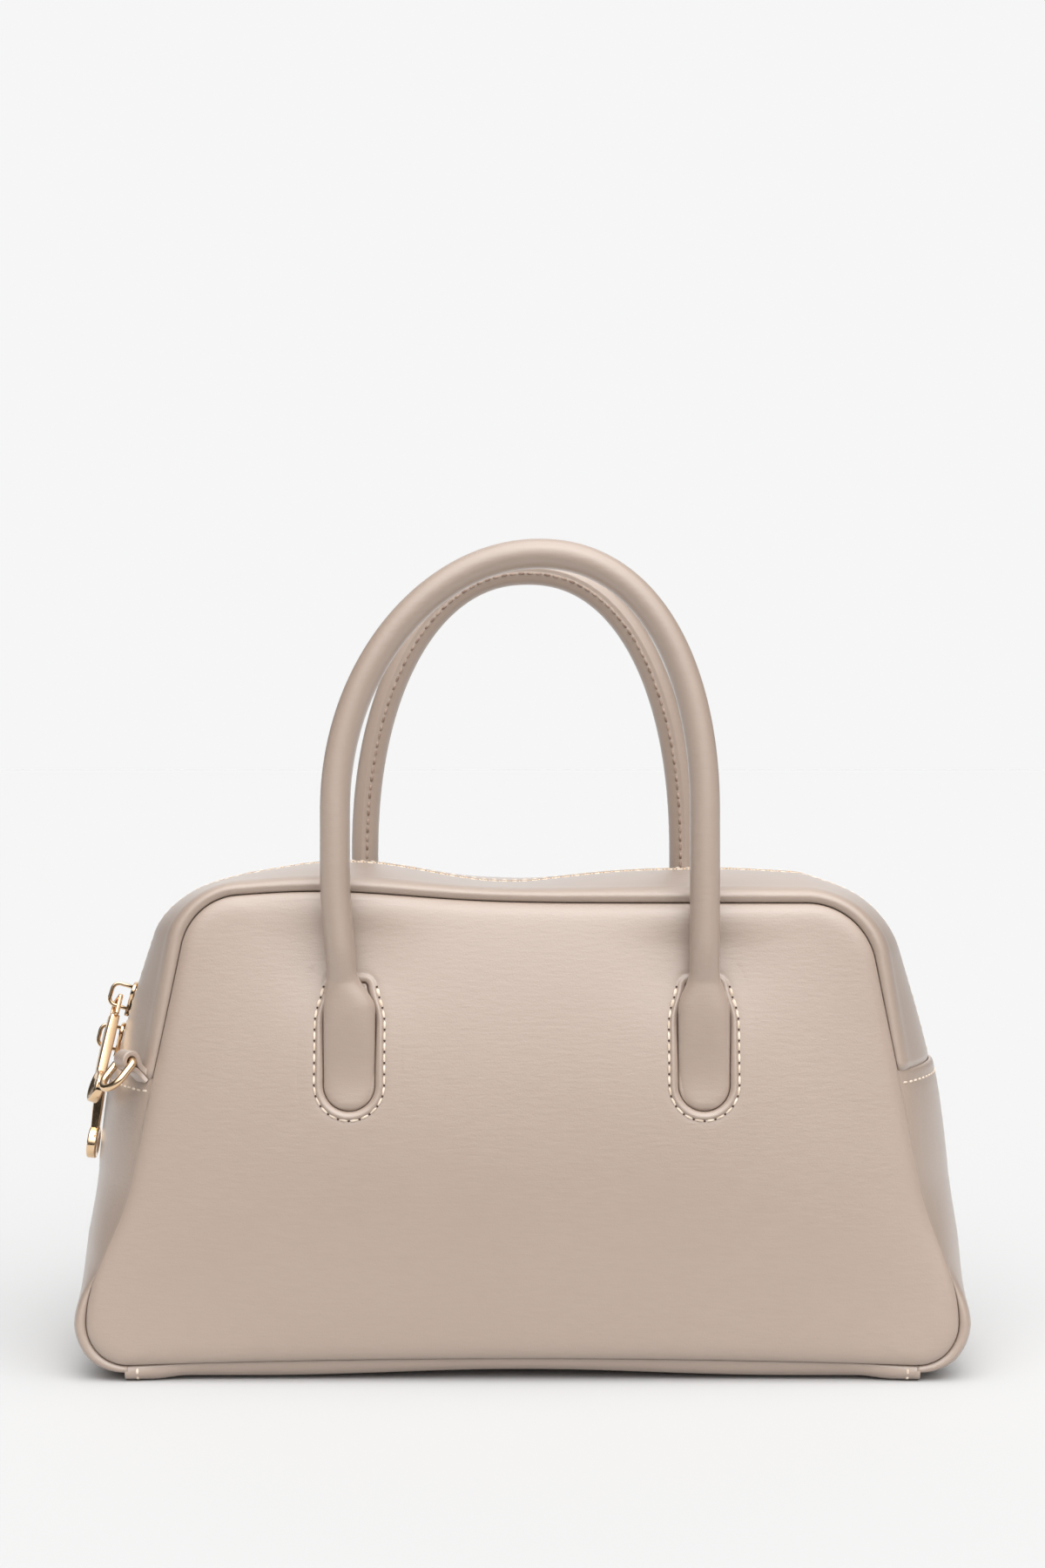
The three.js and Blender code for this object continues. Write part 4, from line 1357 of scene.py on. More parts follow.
@dataclass
class Gusset:
    """The band round the body: two zip strips over the top, a side panel at each end and the base."""

    form: BodyForm
    finishes: Finishes
    opening: float = 4.5
    wall: float = 1.6
    zip_stitch: float = 2.6
    zip_stitch_sunk: float = 0.2
    free_rows: int = 6
    zip_groove: float = 0.12
    zip_groove_reach: float = 0.5
    edge_drop: float = 0.9
    edge_round: float = 1.6
    fold_step: float = 1.7
    fold_fade: float = 45.0
    hem_stitch: float = 3.4
    hem_stitch_sunk: float = 0.02
    hem_inset: float = 0.3
    hem_groove: float = 0.15
    hem_groove_reach: float = 0.6
    lip: float = 1.5
    lip_from: float = 0.6
    tuck: float = 6.0
    tucked_at: float = -2.5
    tuck_from: float = 1.5
    tuck_drop: float = 1.9
    tuck_draw: float = 2.8
    lap_drop: float = 1.5
    lap_reach: float = 0.045
    lap_fade: float = 1.6
    lap_stitch: float = 137.0
    lap_from: float = 0.12
    lap_to: float = 1.15
    lap_sewing: Stitching = Stitching(pitch=2.9, length=2.7, width=1.1, height=0.7)
    low_roll: float = 0.5
    low_roll_to: float = 3.4
    whole_roll_from: float = 4.2
    side_rolled_to: float = 1.95
    side_flat_from: float = 2.4
    base_rows: int = 60
    base_flat_to: float = 112.0
    base_rolled_from: float = 144.0

    def rows_over_top(self) -> tuple[Array, Array]:
        """Give the rows of a band from the right fold over the top to the left fold.

        Returns:
            The side, and the place: 0 at the fold, 1 at the shoulder, 1.5 after the corner, 2 in the middle.
        """
        place = np.r_[
            np.linspace(0.0, 1.0, 40)[:-1], np.linspace(1.0, 1.5, 30)[:-1], np.linspace(1.5, 2.0, 60)]
        side = np.r_[np.ones(place.size), -np.ones(place.size - 1)]
        return side[:, None], np.r_[place, place[::-1][1:]][:, None]

    def station(self, side: Array, place: Array, y: Array) -> Array:
        """Give the station of a row at a depth y. Below the shoulder it starts under the turned edge."""
        first = np.where(side > 0, self.form.fold_station(1, y) - self.tuck / self.form.side_length(1),
                         self.form.fold_station(-1, y) - self.tuck / self.form.side_length(-1))
        return np.where(place < 1.0, mix(first, SHOULDER, place), SHOULDER + 2.0 * (place - 1.0))

    def strip_roll(self, station: Array) -> Array:
        """Give the share of the round edge on a strip: whole over the top and less down its ends."""
        return mix(self.low_roll, 1.0, smooth(station, self.low_roll_to, self.whole_roll_from))

    def side_roll(self, station: Array) -> Array:
        """Give the share of the round edge on a side panel: whole at the lower corner and none above it."""
        return 1.0 - smooth(station, self.side_rolled_to, self.side_flat_from)

    def tucked(self, side: Array, station: Array, y: Array) -> Array:
        """Give how far a strip has gone under the turned edge, from 0 above it to 1 below it.

        Args:
            side: 1 for right, -1 for left.
            station: places along the seam.
            y: depths.

        Returns:
            The shares.
        """
        right = (station - self.form.fold_station(1, y)) * self.form.side_length(1)
        left = (station - self.form.fold_station(-1, y)) * self.form.side_length(-1)
        return 1.0 - smooth(np.where(side > 0, right, left), self.tucked_at, self.tuck_from)

    def over_top(self, face: float, inner: Array, roll: Array) -> tuple[Array, Array, Array]:
        """Give side, station and depth of a band over the top.

        Args:
            face: sign of Y.
            inner: depths from the zip's edge, as shares of the way to the round edge.
            roll: angles over the round edge, from a quarter turn to 0 at the seam.

        Returns:
            Arrays of rows by columns.
        """
        side, place = self.rows_over_top()

        def depths(half: Array) -> Array:
            """Give the band's depths where half the body's depth is half."""
            flat = mix(self.opening, half - self.form.roll_width, inner)
            return face * np.hstack([flat, half - self.form.roll_width * (1.0 - np.cos(roll))])

        # A row's stations and depths depend on each other, so both are taken twice
        middle = self.station(side, place, np.zeros((1, 1)))
        rough = depths(self.form.half_depth(self.form.seam(side, middle).z))
        station = self.station(side, place, rough)
        half = self.form.half_depth(self.form.seam(side, station).z)
        columns = np.arange(rough.shape[1])
        depth = np.stack([depths(half[:, [column]])[:, column] for column in columns], axis=1)
        return np.broadcast_to(side, station.shape), station, depth

    def strip(self, face: Face) -> Patch:
        """Make a zip strip: the gusset's surface from the seam to the zip, its edge there turned down.

        Args:
            face: front or back.

        Returns:
            Its outer face.
        """
        inner = np.r_[0.0, 0.012, 0.025, 0.04, 0.06, np.linspace(0.09, 1.0, 16)]
        roll = np.linspace(math.pi / 2.0, 0.0, 12)[1:]
        side, station, y = self.over_top(face.value, inner, roll)
        down = self.edge_drop * (1.0 - quarter_round((np.abs(y) - self.opening) / self.edge_round))
        groove = self.zip_groove * bell(np.abs(y) - self.opening - self.zip_stitch, self.zip_groove_reach)
        under = self.tucked(side, station, y)
        half = self.form.half_depth(self.form.seam(side, station).z)
        rounded = quarter_round((half - np.abs(y)) / self.form.roll_width)
        lift = -down - groove - self.tuck_drop * under * rounded
        points = self.form.gusset(side, station, y, lift, self.strip_roll(station))
        points[..., 1] *= 1.0 - self.tuck_draw * under / half
        return Patch.grid(points).turned_out(INSIDE)

    def along_zip(self, y: float, lift: float) -> Array:
        """Give a line over the top along the zip.

        Args:
            y: its depth.
            lift: how far it is raised out of the bag.

        Returns:
            Its points.
        """
        side, place = self.rows_over_top()
        depth = np.full(side.shape, y)
        station = self.station(side, place, depth)
        return self.form.gusset(side, station, depth, lift, self.strip_roll(station))[:, 0]

    def strip_stitches(self, face: Face) -> Patch:
        """Sew along the zip's edge of a strip.

        Args:
            face: front or back.

        Returns:
            The stitches.
        """
        y = face.value * (self.opening + self.zip_stitch)
        rows = slice(self.free_rows, -self.free_rows)
        path = self.along_zip(y, -self.zip_stitch_sunk)[rows]
        return Stitching().sew(path, self.along_zip(y, 1.0)[rows])

    def depths_across(self, half: Array) -> Array:
        """Give depths from the front seam to the back seam, close together over the round edges.

        Args:
            half: half the body's depth, by rows.

        Returns:
            Depths by rows and columns.
        """
        angle = np.linspace(0.0, math.pi / 2.0, 11)
        roll = half - self.form.roll_width * (1.0 - np.cos(angle))
        flat = mix(half - self.form.roll_width, 0.0, np.linspace(0.0, 1.0, 16)[1:])
        near = np.hstack([roll, flat])
        return np.hstack([-near, near[:, ::-1][:, 1:]])

    def side_panel(self, side: int) -> Patch:
        """Make a side panel: the gusset from the base to a turned edge that stands proud and rounds in.

        Args:
            side: 1 for right, -1 for left.

        Returns:
            Its outer face.
        """
        form = self.form
        top = float(form.fold_station(side, np.zeros(1))[0])
        share = (np.r_[np.linspace(FOOT, HEEL, 22)[:-1], np.linspace(HEEL, top, 70)] - FOOT) / (top - FOOT)
        share = share[:, None]
        half = form.half_depth(form.seam(side, mix(FOOT, top, share)).z)
        rough = self.depths_across(half)
        end = form.fold_station(side, rough)
        station = mix(FOOT, end, share)
        y = rough * form.half_depth(form.seam(side, station).z) / half
        lift = self._proud(side, station, y)
        body = form.gusset(side, station, y, lift, self.side_roll(station))
        angle = np.linspace(0.0, math.pi / 2.0, 6)[1:, None]
        length = form.side_length(side)
        last_y, last_end = y[-1:], end[-1:]
        over = form.gusset(side, last_end + self.lip * np.sin(angle) / length, last_y,
                           lift[-1:] - self.lip * (1.0 - np.cos(angle)), 0.0)
        over[..., 2] -= self.lip
        body[..., 2] -= self.lip * smooth(share, self.lip_from, 1.0)
        return Patch.grid(np.concatenate([body, over])).turned_out(INSIDE)

    def _proud(self, side: int, station: Array, y: Array) -> Array:
        """Give how far a side panel stands over the strips.

        Args:
            side: 1 for right, -1 for left.
            station: places along the seam.
            y: depths.

        Returns:
            The distances, most at its edge and less than 0 under the base.
        """
        form = self.form
        below = (form.fold_station(side, y) - station) * form.side_length(side)
        rounded = quarter_round((form.half_depth(form.seam(side, station).z) - np.abs(y)) / form.roll_width)
        groove = self.hem_groove * bell(below - self.hem_stitch, self.hem_groove_reach)
        under_lap = self.lap_drop * (1.0 - smooth(station, FOOT, self.lap_fade))
        return (self.fold_step * (1.0 - smooth(below, 0.0, self.fold_fade)) - groove - under_lap) * rounded

    def hem_stitches(self, side: int) -> Patch:
        """Sew along the turned edge of a side panel.

        Args:
            side: 1 for right, -1 for left.

        Returns:
            The stitches.
        """
        half = self.form.half_depth(np.array([[self.form.end(side).fold_height]])) - self.hem_inset
        y = self.depths_across(half)[0]
        station = self.form.fold_station(side, y) - self.hem_stitch / self.form.side_length(side)
        lift = self._proud(side, station, y)
        path = self.form.gusset(side, station, y, lift - self.hem_stitch_sunk, 0.0)
        lifted = self.form.gusset(side, station, y, lift + 1.0, 0.0)
        path[:, 2] -= self.lip
        lifted[:, 2] -= self.lip
        return Stitching().sew(path, lifted)

    def base_roll(self, x: Array) -> Array:
        """Give the share of the base's round edge: whole at the laps, and none where it lies back between."""
        return smooth(np.abs(x), self.base_flat_to, self.base_rolled_from)

    def base_points(self, side: Array, station: Array, y: Array, lift: float = 0.0) -> Array:
        """Give points of the base, from the bottom seam round to the floor.

        Args:
            side: 1 for right, -1 for left.
            station: places along the seam.
            y: depths.
            lift: how far they are raised out of the bag.

        Returns:
            The points.
        """
        form = self.form
        seam = form.seam(side, station)
        half = form.half_depth(seam.z)
        rounded = quarter_round((half - np.abs(y)) / form.roll_width)
        z = mix(seam.z, form.floor(seam.x), rounded) - lift * rounded
        depth = form.overhang(half, y, self.base_roll(seam.x)) + np.sign(y) * lift * (1.0 - rounded)
        return np.stack([np.broadcast_to(seam.x, z.shape), depth, z], axis=-1)

    def base(self) -> Patch:
        """Make the base: flat near the ends, arched between, and lapped over the side panels.

        Returns:
            Its outer face.
        """
        reach = FOOT + self.lap_reach
        left, right = np.linspace(reach, 0.0, self.base_rows)[:-1], np.linspace(0.0, reach, self.base_rows)
        station = np.r_[left, right][:, None]
        side = np.r_[-np.ones(self.base_rows - 1), np.ones(self.base_rows)][:, None]
        y = self.depths_across(self.form.half_depth(self.form.seam(side, station).z))
        return Patch.grid(self.base_points(side, station, y)).turned_out(INSIDE)

    def lap_stitches(self) -> Patch:
        """Sew the ends of the base to the side panels, where their front and back edges show.

        Returns:
            The stitches.
        """
        bottom = np.linspace(FOOT / 2.0, FOOT, 80)
        station = np.interp(self.lap_stitch, self.form.seam(1, bottom).x, bottom)
        angle = np.linspace(self.lap_from, self.lap_to, 30)
        stations = np.full(angle.size, station)
        rows = []
        for side in (-1.0, 1.0):
            half = float(self.form.half_depth(self.form.seam(side, station).z))
            sides = np.full(angle.size, side)
            for face in Face:
                y = face.value * (half - self.form.roll_width * (1.0 - np.cos(angle)))
                path = self.base_points(sides, stations, y)
                lifted = self.base_points(sides, stations, y, 1.0)
                rows.append(self.lap_sewing.sew(path, lifted))
        return Patch.joined(rows)

    def build(self) -> None:
        """Build the strips, the side panels, the base and their stitches."""
        leather, thread = self.finishes.leather, self.finishes.thread
        for face in Face:
            node = f"zip_strip_{face.name.lower()}"
            add_piece(f"{node}_leather", self.strip(face), leather, stands_for=(node,), wall=self.wall)
            add_piece(f"{node}_stitches", self.strip_stitches(face), thread)
        for side, label in ((-1, "left"), (1, "right")):
            node = f"side_panel_{label}"
            add_piece(f"{node}_leather", self.side_panel(side), leather, stands_for=(node,), wall=self.wall)
            add_piece(f"{node}_stitches", self.hem_stitches(side), thread)
        add_piece("base_leather", self.base(), leather, stands_for=("base_panel",), wall=self.wall)
        add_piece("base_stitches", self.lap_stitches(), thread)


# Zip


@dataclass
class Zip:
    """Closed zip along the top: a woven tape with two rows of interlocking metal teeth."""

    gusset: Gusset
    finishes: Finishes
    tape_half_width: float = 11.0
    tape_depth: float = 2.3
    tape_thickness: float = 0.8
    tooth_pitch: float = 1.25
    tooth_length: float = 1.05
    tooth_width: float = 3.7
    tooth_height: float = 1.7
    tooth_offset: float = 0.8
    tooth_level: float = -0.9
    tooth_corner: float = 0.45
    tooth_edge: float = 0.3
    tooth_reach: float = 0.5

    def tape(self) -> Patch:
        """Make the tape from lines along it.

        Returns:
            Its outer face.
        """
        depths = np.linspace(-self.tape_half_width, self.tape_half_width, 9)
        lines = [self.gusset.along_zip(y, -self.tape_depth) for y in depths]
        return Patch.grid(np.stack(lines, axis=1)).turned_out(INSIDE)

    def teeth(self) -> Patch:
        """Make the teeth: small plates with rounded ends, placed by turns on either side of the line.

        Returns:
            All the teeth as one surface.
        """
        outline = rounded_section(self.tooth_length, self.tooth_width, self.tooth_corner, 3)
        shape = slab(outline, -self.tooth_height / 2.0, self.tooth_height / 2.0, self.tooth_edge)
        path = self.gusset.along_zip(0.0, self.tooth_level)
        lifted = self.gusset.along_zip(0.0, self.tooth_level + 1.0)
        lengths = running_length(path)
        at = np.arange(self.tooth_pitch, lengths[-1] - self.tooth_pitch, self.tooth_pitch)
        ahead = read_path(path, lengths, at + self.tooth_reach)
        along = unit(ahead - read_path(path, lengths, at - self.tooth_reach))
        across = np.broadcast_to([0.0, 1.0, 0.0], along.shape)
        up = np.cross(along, across)
        flip = np.sign(np.einsum("ij,ij->i", up, read_path(lifted - path, lengths, at)))[:, None]
        axes = np.stack([along * flip, across, up * flip], axis=-1)
        shift = np.where(np.arange(at.size) % 2 == 0, self.tooth_offset, -self.tooth_offset)[:, None] * across
        return shape.copies(read_path(path, lengths, at) + shift, axes)

    def build(self) -> None:
        """Build the tape and the teeth."""
        add_piece("zip_tape_woven", self.tape(), self.finishes.tape, stands_for=("zip_tape",),
                  wall=self.tape_thickness)
        add_piece("zip_teeth", self.teeth(), self.finishes.gold, stands_for=("zip_chain",))


# Handles


@dataclass(frozen=True)
class LegForm:
    """X of one leg of a handle at its tab, its neck and its upper part."""

    tab: float
    neck: float
    leg: float


@dataclass
class Handle:
    """A rolled handle: two flat tabs, two legs and an arch, sewn along its inner side."""

    face: Face
    left: LegForm
    right: LegForm
    top_height: float
    lean: float
    seam_angle: float
    form: BodyForm
    finishes: Finishes
    radius: float = 5.3
    spring_height: float = 203.0
    squareness: float = 2.07
    lift: float = 6.2
    inward: float = 4.0
    tab_bottom: float = 96.6
    tab_length: float = 46.0
    tab_half_width: float = 9.2
    tab_half_thickness: float = 2.7
    tab_sink: float = 2.2
    tab_tip: float = 0.06
    tab_tip_length: float = 3.0
    tab_rows_from: float = 10.0
    tab_squareness: float = 2.9
    square_to: float = 18.0
    round_from: float = 44.0
    swell_from: float = 6.0
    swell_to: float = 60.0
    neck_from: float = 36.0
    neck_to: float = 50.0
    leg_rows_from: float = 52.0
    leg_top: float = 84.0
    seam_length: float = 14.0
    lip_height: float = 0.055
    lip_angle: float = 0.17
    lip_reach: float = 0.1
    groove_depth: float = 0.1
    groove_reach: float = 0.045
    stitch_from: float = 16.0
    sewing: Stitching = Stitching(pitch=3.4, length=3.0, width=1.0, height=0.55)
    sides: int = 48

    def leg(self, places: LegForm) -> tuple[Array, Array, Array]:
        """Give a leg's middle line and its sizes, from its lower end up.

        The tab ends in a half circle, and its half width eases to the handle's radius at the neck.

        Args:
            places: X of the leg.

        Returns:
            The line, half widths and half thicknesses.
        """
        turn_in = self.tab_half_width * (1.0 - np.cos(np.linspace(self.tab_tip, math.pi / 2.0, 16)))
        up_tab = np.linspace(self.tab_rows_from, self.neck_to, 44)
        rise = np.r_[turn_in, up_tab, np.linspace(self.leg_rows_from, self.leg_top, 14)]
        end = np.minimum(rise, self.tab_half_width)
        ended = np.sqrt(self.tab_half_width**2 - (self.tab_half_width - end) ** 2)
        width = mix(ended, self.radius, smooth(rise, self.neck_from, self.neck_to))
        flat = self.tab_half_thickness * quarter_round(rise / self.tab_tip_length)
        swell = smooth(rise, self.swell_from, self.swell_to)
        thick = mix(flat, self.radius, swell)
        out = mix(-self.tab_sink, self.lift, swell)
        neck = mix(places.tab, places.neck, smooth(rise, self.neck_from, self.neck_to))
        x = mix(neck, places.leg, smooth(rise, self.tab_length, self.leg_top))
        on_panel = self.tab_bottom + np.minimum(rise, self.tab_length)
        y = self.face.value * (self.form.panel_at(x, on_panel) + out)
        return np.stack([x, y, self.tab_bottom + rise], axis=-1), width, thick

    def arch(self, left_y: float, right_y: float) -> Array:
        """Give the arch's middle line: half of |x|^n + |z|^n = 1, n its squareness, leaning aside and in.

        Args:
            left_y: depth of its left end.
            right_y: depth of its right end.

        Returns:
            The line.
        """
        angle = np.linspace(math.pi, 0.0, 150)
        power = 2.0 / self.squareness
        rise = np.abs(np.sin(angle)) ** power
        across = (1.0 - np.sign(np.cos(angle)) * np.abs(np.cos(angle)) ** power) / 2.0
        return np.stack([
            mix(self.right.leg, self.left.leg, across) + self.lean * rise**2,
            mix(right_y, left_y, across) - self.face.value * self.inward * rise,
            self.spring_height + (self.top_height - self.spring_height) * rise,
        ], axis=-1)

    def line(self) -> tuple[Array, Array, Array, Array]:
        """Give the whole middle line from the left tab to the right one.

        Returns:
            The line, its directions to the inside of the arch, half widths and half thicknesses.
        """
        left, left_width, left_thick = self.leg(self.left)
        right, right_width, right_thick = self.leg(self.right)
        arch = self.arch(left[-1, 1], right[-1, 1])
        even = np.full(len(arch), self.radius)
        path = np.vstack([left, arch, right[::-1]])
        up = np.array([[0.0, 1.0]])
        over = unit(np.gradient(arch[:, [0, 2]], axis=0))[1:-1]
        along = np.vstack([up.repeat(len(left) + 1, axis=0), over, -up.repeat(len(right) + 1, axis=0)])
        inside = np.stack([along[:, 1], np.zeros(len(path)), -along[:, 0]], axis=-1)
        width = np.r_[left_width, even, right_width[::-1]]
        return path, inside, width, np.r_[left_thick, even, right_thick[::-1]]

    def around(self, angle: Array) -> Array:
        """Give the surface at angles from the inside of the arch towards the back.

        A section is a superellipse, flatter at the tabs, with two lips and a groove along the sewn seam.

        Args:
            angle: the angles, in radians.

        Returns:
            Points by place along the handle and by angle.
        """
        path, inside, width, thick = self.line()
        rise = path[:, 2, None]
        tab_top = self.tab_bottom + self.tab_length
        tube = smooth(rise, tab_top, tab_top + self.seam_length)
        rounder = smooth(rise, self.tab_bottom + self.square_to, self.tab_bottom + self.round_from)
        power = 2.0 / mix(self.tab_squareness, 2.0, rounder)
        cosine, sine = np.cos(angle)[None], np.sin(angle)[None]
        seam = -self.face.value * math.radians(self.seam_angle)
        off = np.angle(np.exp(1j * (angle - seam)))[None]
        lips = bell(off - self.lip_angle, self.lip_reach) + bell(off + self.lip_angle, self.lip_reach)
        relief = self.lip_height * lips - self.groove_depth * bell(off, self.groove_reach)
        size = 1.0 + relief * tube
        to_side = np.sign(cosine) * np.abs(cosine) ** power * width[:, None] * size
        to_back = np.sign(sine) * np.abs(sine) ** power * thick[:, None] * size
        back = np.array([0.0, 1.0, 0.0])
        return path[:, None] + inside[:, None] * to_side[..., None] + to_back[..., None] * back

    def roll(self) -> Patch:
        """Make the handle as one closed roll."""
        return Patch.solid(self.around(np.linspace(0.0, 2.0 * math.pi, self.sides, endpoint=False)))

    def stitches(self) -> Patch:
        """Sew along one lip of the seam.

        Returns:
            The stitches.
        """
        seam = -self.face.value * math.radians(self.seam_angle)
        path, *_ = self.line()
        keep = path[:, 2] > self.tab_bottom + self.tab_length + self.stitch_from
        line = self.around(np.array([seam + self.lip_angle]))[keep, 0]
        return self.sewing.sew(line, line + unit(line - path[keep]))

    def build(self) -> None:
        """Build the handle and its seam."""
        node = f"{self.face.name.lower()}_handle"
        add_piece(f"{node}_leather", self.roll(), self.finishes.leather, stands_for=(node,))
        # The handle's stitches take the darker copy of the thread, which is painted shade
        add_piece(f"{node}_stitches", self.stitches(), self.finishes.shaded_thread)


# Zip hardware


@dataclass(frozen=True)
class PullRest:
    """A slider's height on the left end, and the rest angles of its pull in degrees."""

    name: str
    height: float
    swing: float
    tilt: float
    yaw: float


@dataclass
class ZipHardware:
    """Two sliders on the left end with their pulls."""

    gusset: Gusset
    finishes: Finishes
    rests: tuple[PullRest, ...] = (
        PullRest("upper", 130.8, -7.0, -38.0, 16.0),
        PullRest("lower", 115.6, -7.0, -2.0, 0.0),
    )
    chain_lift: float = 0.2
    length: float = 13.0
    head_half_width: float = 4.6
    tail_half_width: float = 3.2
    thickness: float = 1.6
    edge: float = 0.45
    lip_length: float = 9.0
    lip_width: float = 0.9
    lip_offset: float = 3.55
    lip_low: float = -1.1
    lip_high: float = 0.8
    lip_corner: float = 0.3
    lip_edge: float = 0.25
    bridge_half: float = 4.9
    bridge_height: float = 8.6
    bridge_width: float = 1.8
    bridge_thickness: float = 1.4
    bridge_sunk: float = 0.5
    bridge_corner: float = 3.4
    pivot_x: float = -1.6
    pivot_height: float = 4.2
    pull_length: float = 38.5
    disc_radius: float = 6.0
    disc_thickness: float = 3.6
    disc_edge: float = 0.7
    dish_radius: float = 4.2
    dish_depth: float = 0.6
    dish_profile: tuple[tuple[float, float], ...] = ((0.05, 1.0), (0.6, 0.9), (0.9, 0.5), (1.0, 0.12))
    bar_half_width: float = 2.3
    bar_half_thickness: float = 1.7
    bar_edge: float = 0.5
    bar_swell: float = 0.16
    bar_taper: float = 0.12
    bar_in_frame: float = 0.3
    bar_in_disc: float = 0.7
    bar_rows: int = 26
    frame_length: float = 8.4
    frame_half_width: float = 4.1
    frame_corner: float = 0.9
    arm_width: float = 1.15
    arm_thickness: float = 1.6
    arm_edge: float = 0.4

    def frame(self, rest: PullRest) -> Place:
        """Give a slider's frame: X up along the zip, Y across it and Z out of the bag.

        Args:
            rest: where the slider stands.

        Returns:
            The frame.
        """
        form = self.gusset.form
        station = float(form.swollen_station(-1, rest.height, np.zeros(1))[0])
        around = form.gusset(-1, np.array([station - 0.05, station, station + 0.05]), np.zeros(3))
        along = unit(around[2] - around[0])
        out = np.array([-along[2], 0.0, along[0]])
        origin = form.gusset(-1, np.array([station]), np.zeros(1), self.chain_lift)[0]
        return Place(origin, np.stack([along, np.array([0.0, 1.0, 0.0]), out], axis=-1))

    def slider(self) -> Patch:
        """Make a slider: a waisted plate, a lip down each side and a round-cornered bridge.

        Returns:
            The slider in its frame.
        """
        share = np.linspace(0.0, math.pi / 2.0, 12)
        quarter = self.length / 4.0
        head = np.stack([quarter * (1.0 + np.sin(share)), -self.head_half_width * np.cos(share)], axis=-1)
        flank_x = np.linspace(-self.length / 2.0, quarter, 12)
        flank = mix(self.tail_half_width, self.head_half_width, smooth(flank_x, -quarter, quarter))
        lower = np.stack([flank_x, -flank], axis=-1)
        half = np.vstack([lower[:-1], head])
        outline = np.vstack([half, (half * [1.0, -1.0])[::-1][1:]])
        plate = slab(outline, 0.0, self.thickness, self.edge)
        lip = rounded_section(self.lip_length, self.lip_width, self.lip_corner)
        lips = [
            slab(lip + [0.0, side * self.lip_offset], self.lip_low, self.lip_high, self.lip_edge)
            for side in (-1.0, 1.0)
        ]
        return Patch.joined([plate, *lips, self.bridge()])

    def bridge(self) -> Patch:
        """Make the bridge: a rounded section carried along a staple in X and Z.

        Returns:
            The bridge in the slider's frame.
        """
        half = self.bridge_half - self.bridge_thickness / 2.0
        height = self.bridge_height - self.bridge_thickness / 2.0
        radius = self.bridge_corner - self.bridge_thickness / 2.0
        bend = np.linspace(0.0, math.pi / 2.0, 9)
        right = np.stack([
            half - radius + radius * np.cos(bend), height - radius + radius * np.sin(bend)], axis=-1)
        path = np.vstack([[[half, 0.0]], right, (right * [-1.0, 1.0])[::-1], [[-half, 0.0]]])
        section = rounded_section(self.bridge_thickness, self.bridge_width, self.edge)
        staple = flat_sweep(path, section, closed=False)
        points = staple.points[:, [0, 2, 1]] + [0.0, 0.0, self.thickness - self.bridge_sunk]
        return Patch(points, staple.faces).turned_out()

    def pull(self) -> Patch:
        """Make a pull that hangs along -X: a frame on the pin, a slim bar and a dished disc.

        Returns:
            The pull in its own frame.
        """
        out = self.frame_half_width - self.arm_width / 2.0
        loop = rounded_loop(np.array([-self.frame_length, -out]), np.array([0.0, out]), self.frame_corner)
        arm = rounded_section(self.arm_width, self.arm_thickness, self.arm_edge)
        frame = flat_sweep(loop, arm, closed=True)
        share = np.linspace(0.0, 1.0, self.bar_rows)
        bar_end = -self.pull_length + self.disc_radius * self.bar_in_disc
        x = mix(-self.frame_length + self.bar_in_frame, bar_end, share)
        swell = 1.0 + self.bar_swell * np.sin(math.pi * share) - self.bar_taper * share
        section = rounded_section(2.0 * self.bar_half_thickness, 2.0 * self.bar_half_width, self.bar_edge)
        bar = Patch.solid(np.stack([
            np.broadcast_to(x[:, None], (self.bar_rows, len(section))),
            section[None, :, 1] * swell[:, None],
            section[None, :, 0] * swell[:, None],
        ], axis=-1))
        edge = np.linspace(0.0, math.pi / 2.0, 7)
        half = self.disc_thickness / 2.0
        rim_radius = self.disc_radius - self.disc_edge + self.disc_edge * np.sin(edge)
        rim_height = half - self.disc_edge * (1.0 - np.cos(edge))
        dish, deep = np.array(self.dish_profile).T
        radii = np.r_[dish * self.dish_radius, rim_radius]
        heights = np.r_[half - self.dish_depth * deep, rim_height]
        disc = lathe_along_z(np.r_[radii, radii[::-1]], np.r_[heights, -heights[::-1]], 48)
        disc = Patch(disc.points - [self.pull_length, 0.0, 0.0], disc.faces)
        return Patch.joined([frame, bar, disc])

    def build(self) -> None:
        """Build both sliders and both pulls."""
        gold = self.finishes.gold
        for rest in self.rests:
            frame = self.frame(rest)
            add_piece(f"{rest.name}_slider_gold", frame.put(self.slider()), gold,
                      stands_for=(f"{rest.name}_slider",))
            turned = turn("Z", -rest.tilt) @ turn("Y", rest.swing) @ turn("X", rest.yaw)
            hang = frame.inner(np.array([self.pivot_x, 0.0, self.thickness + self.pivot_height]), turned)
            add_piece(f"{rest.name}_pull_gold", hang.put(self.pull()), gold, f"{rest.name}_pull",
                      stands_for=(f"{rest.name}_pull",))


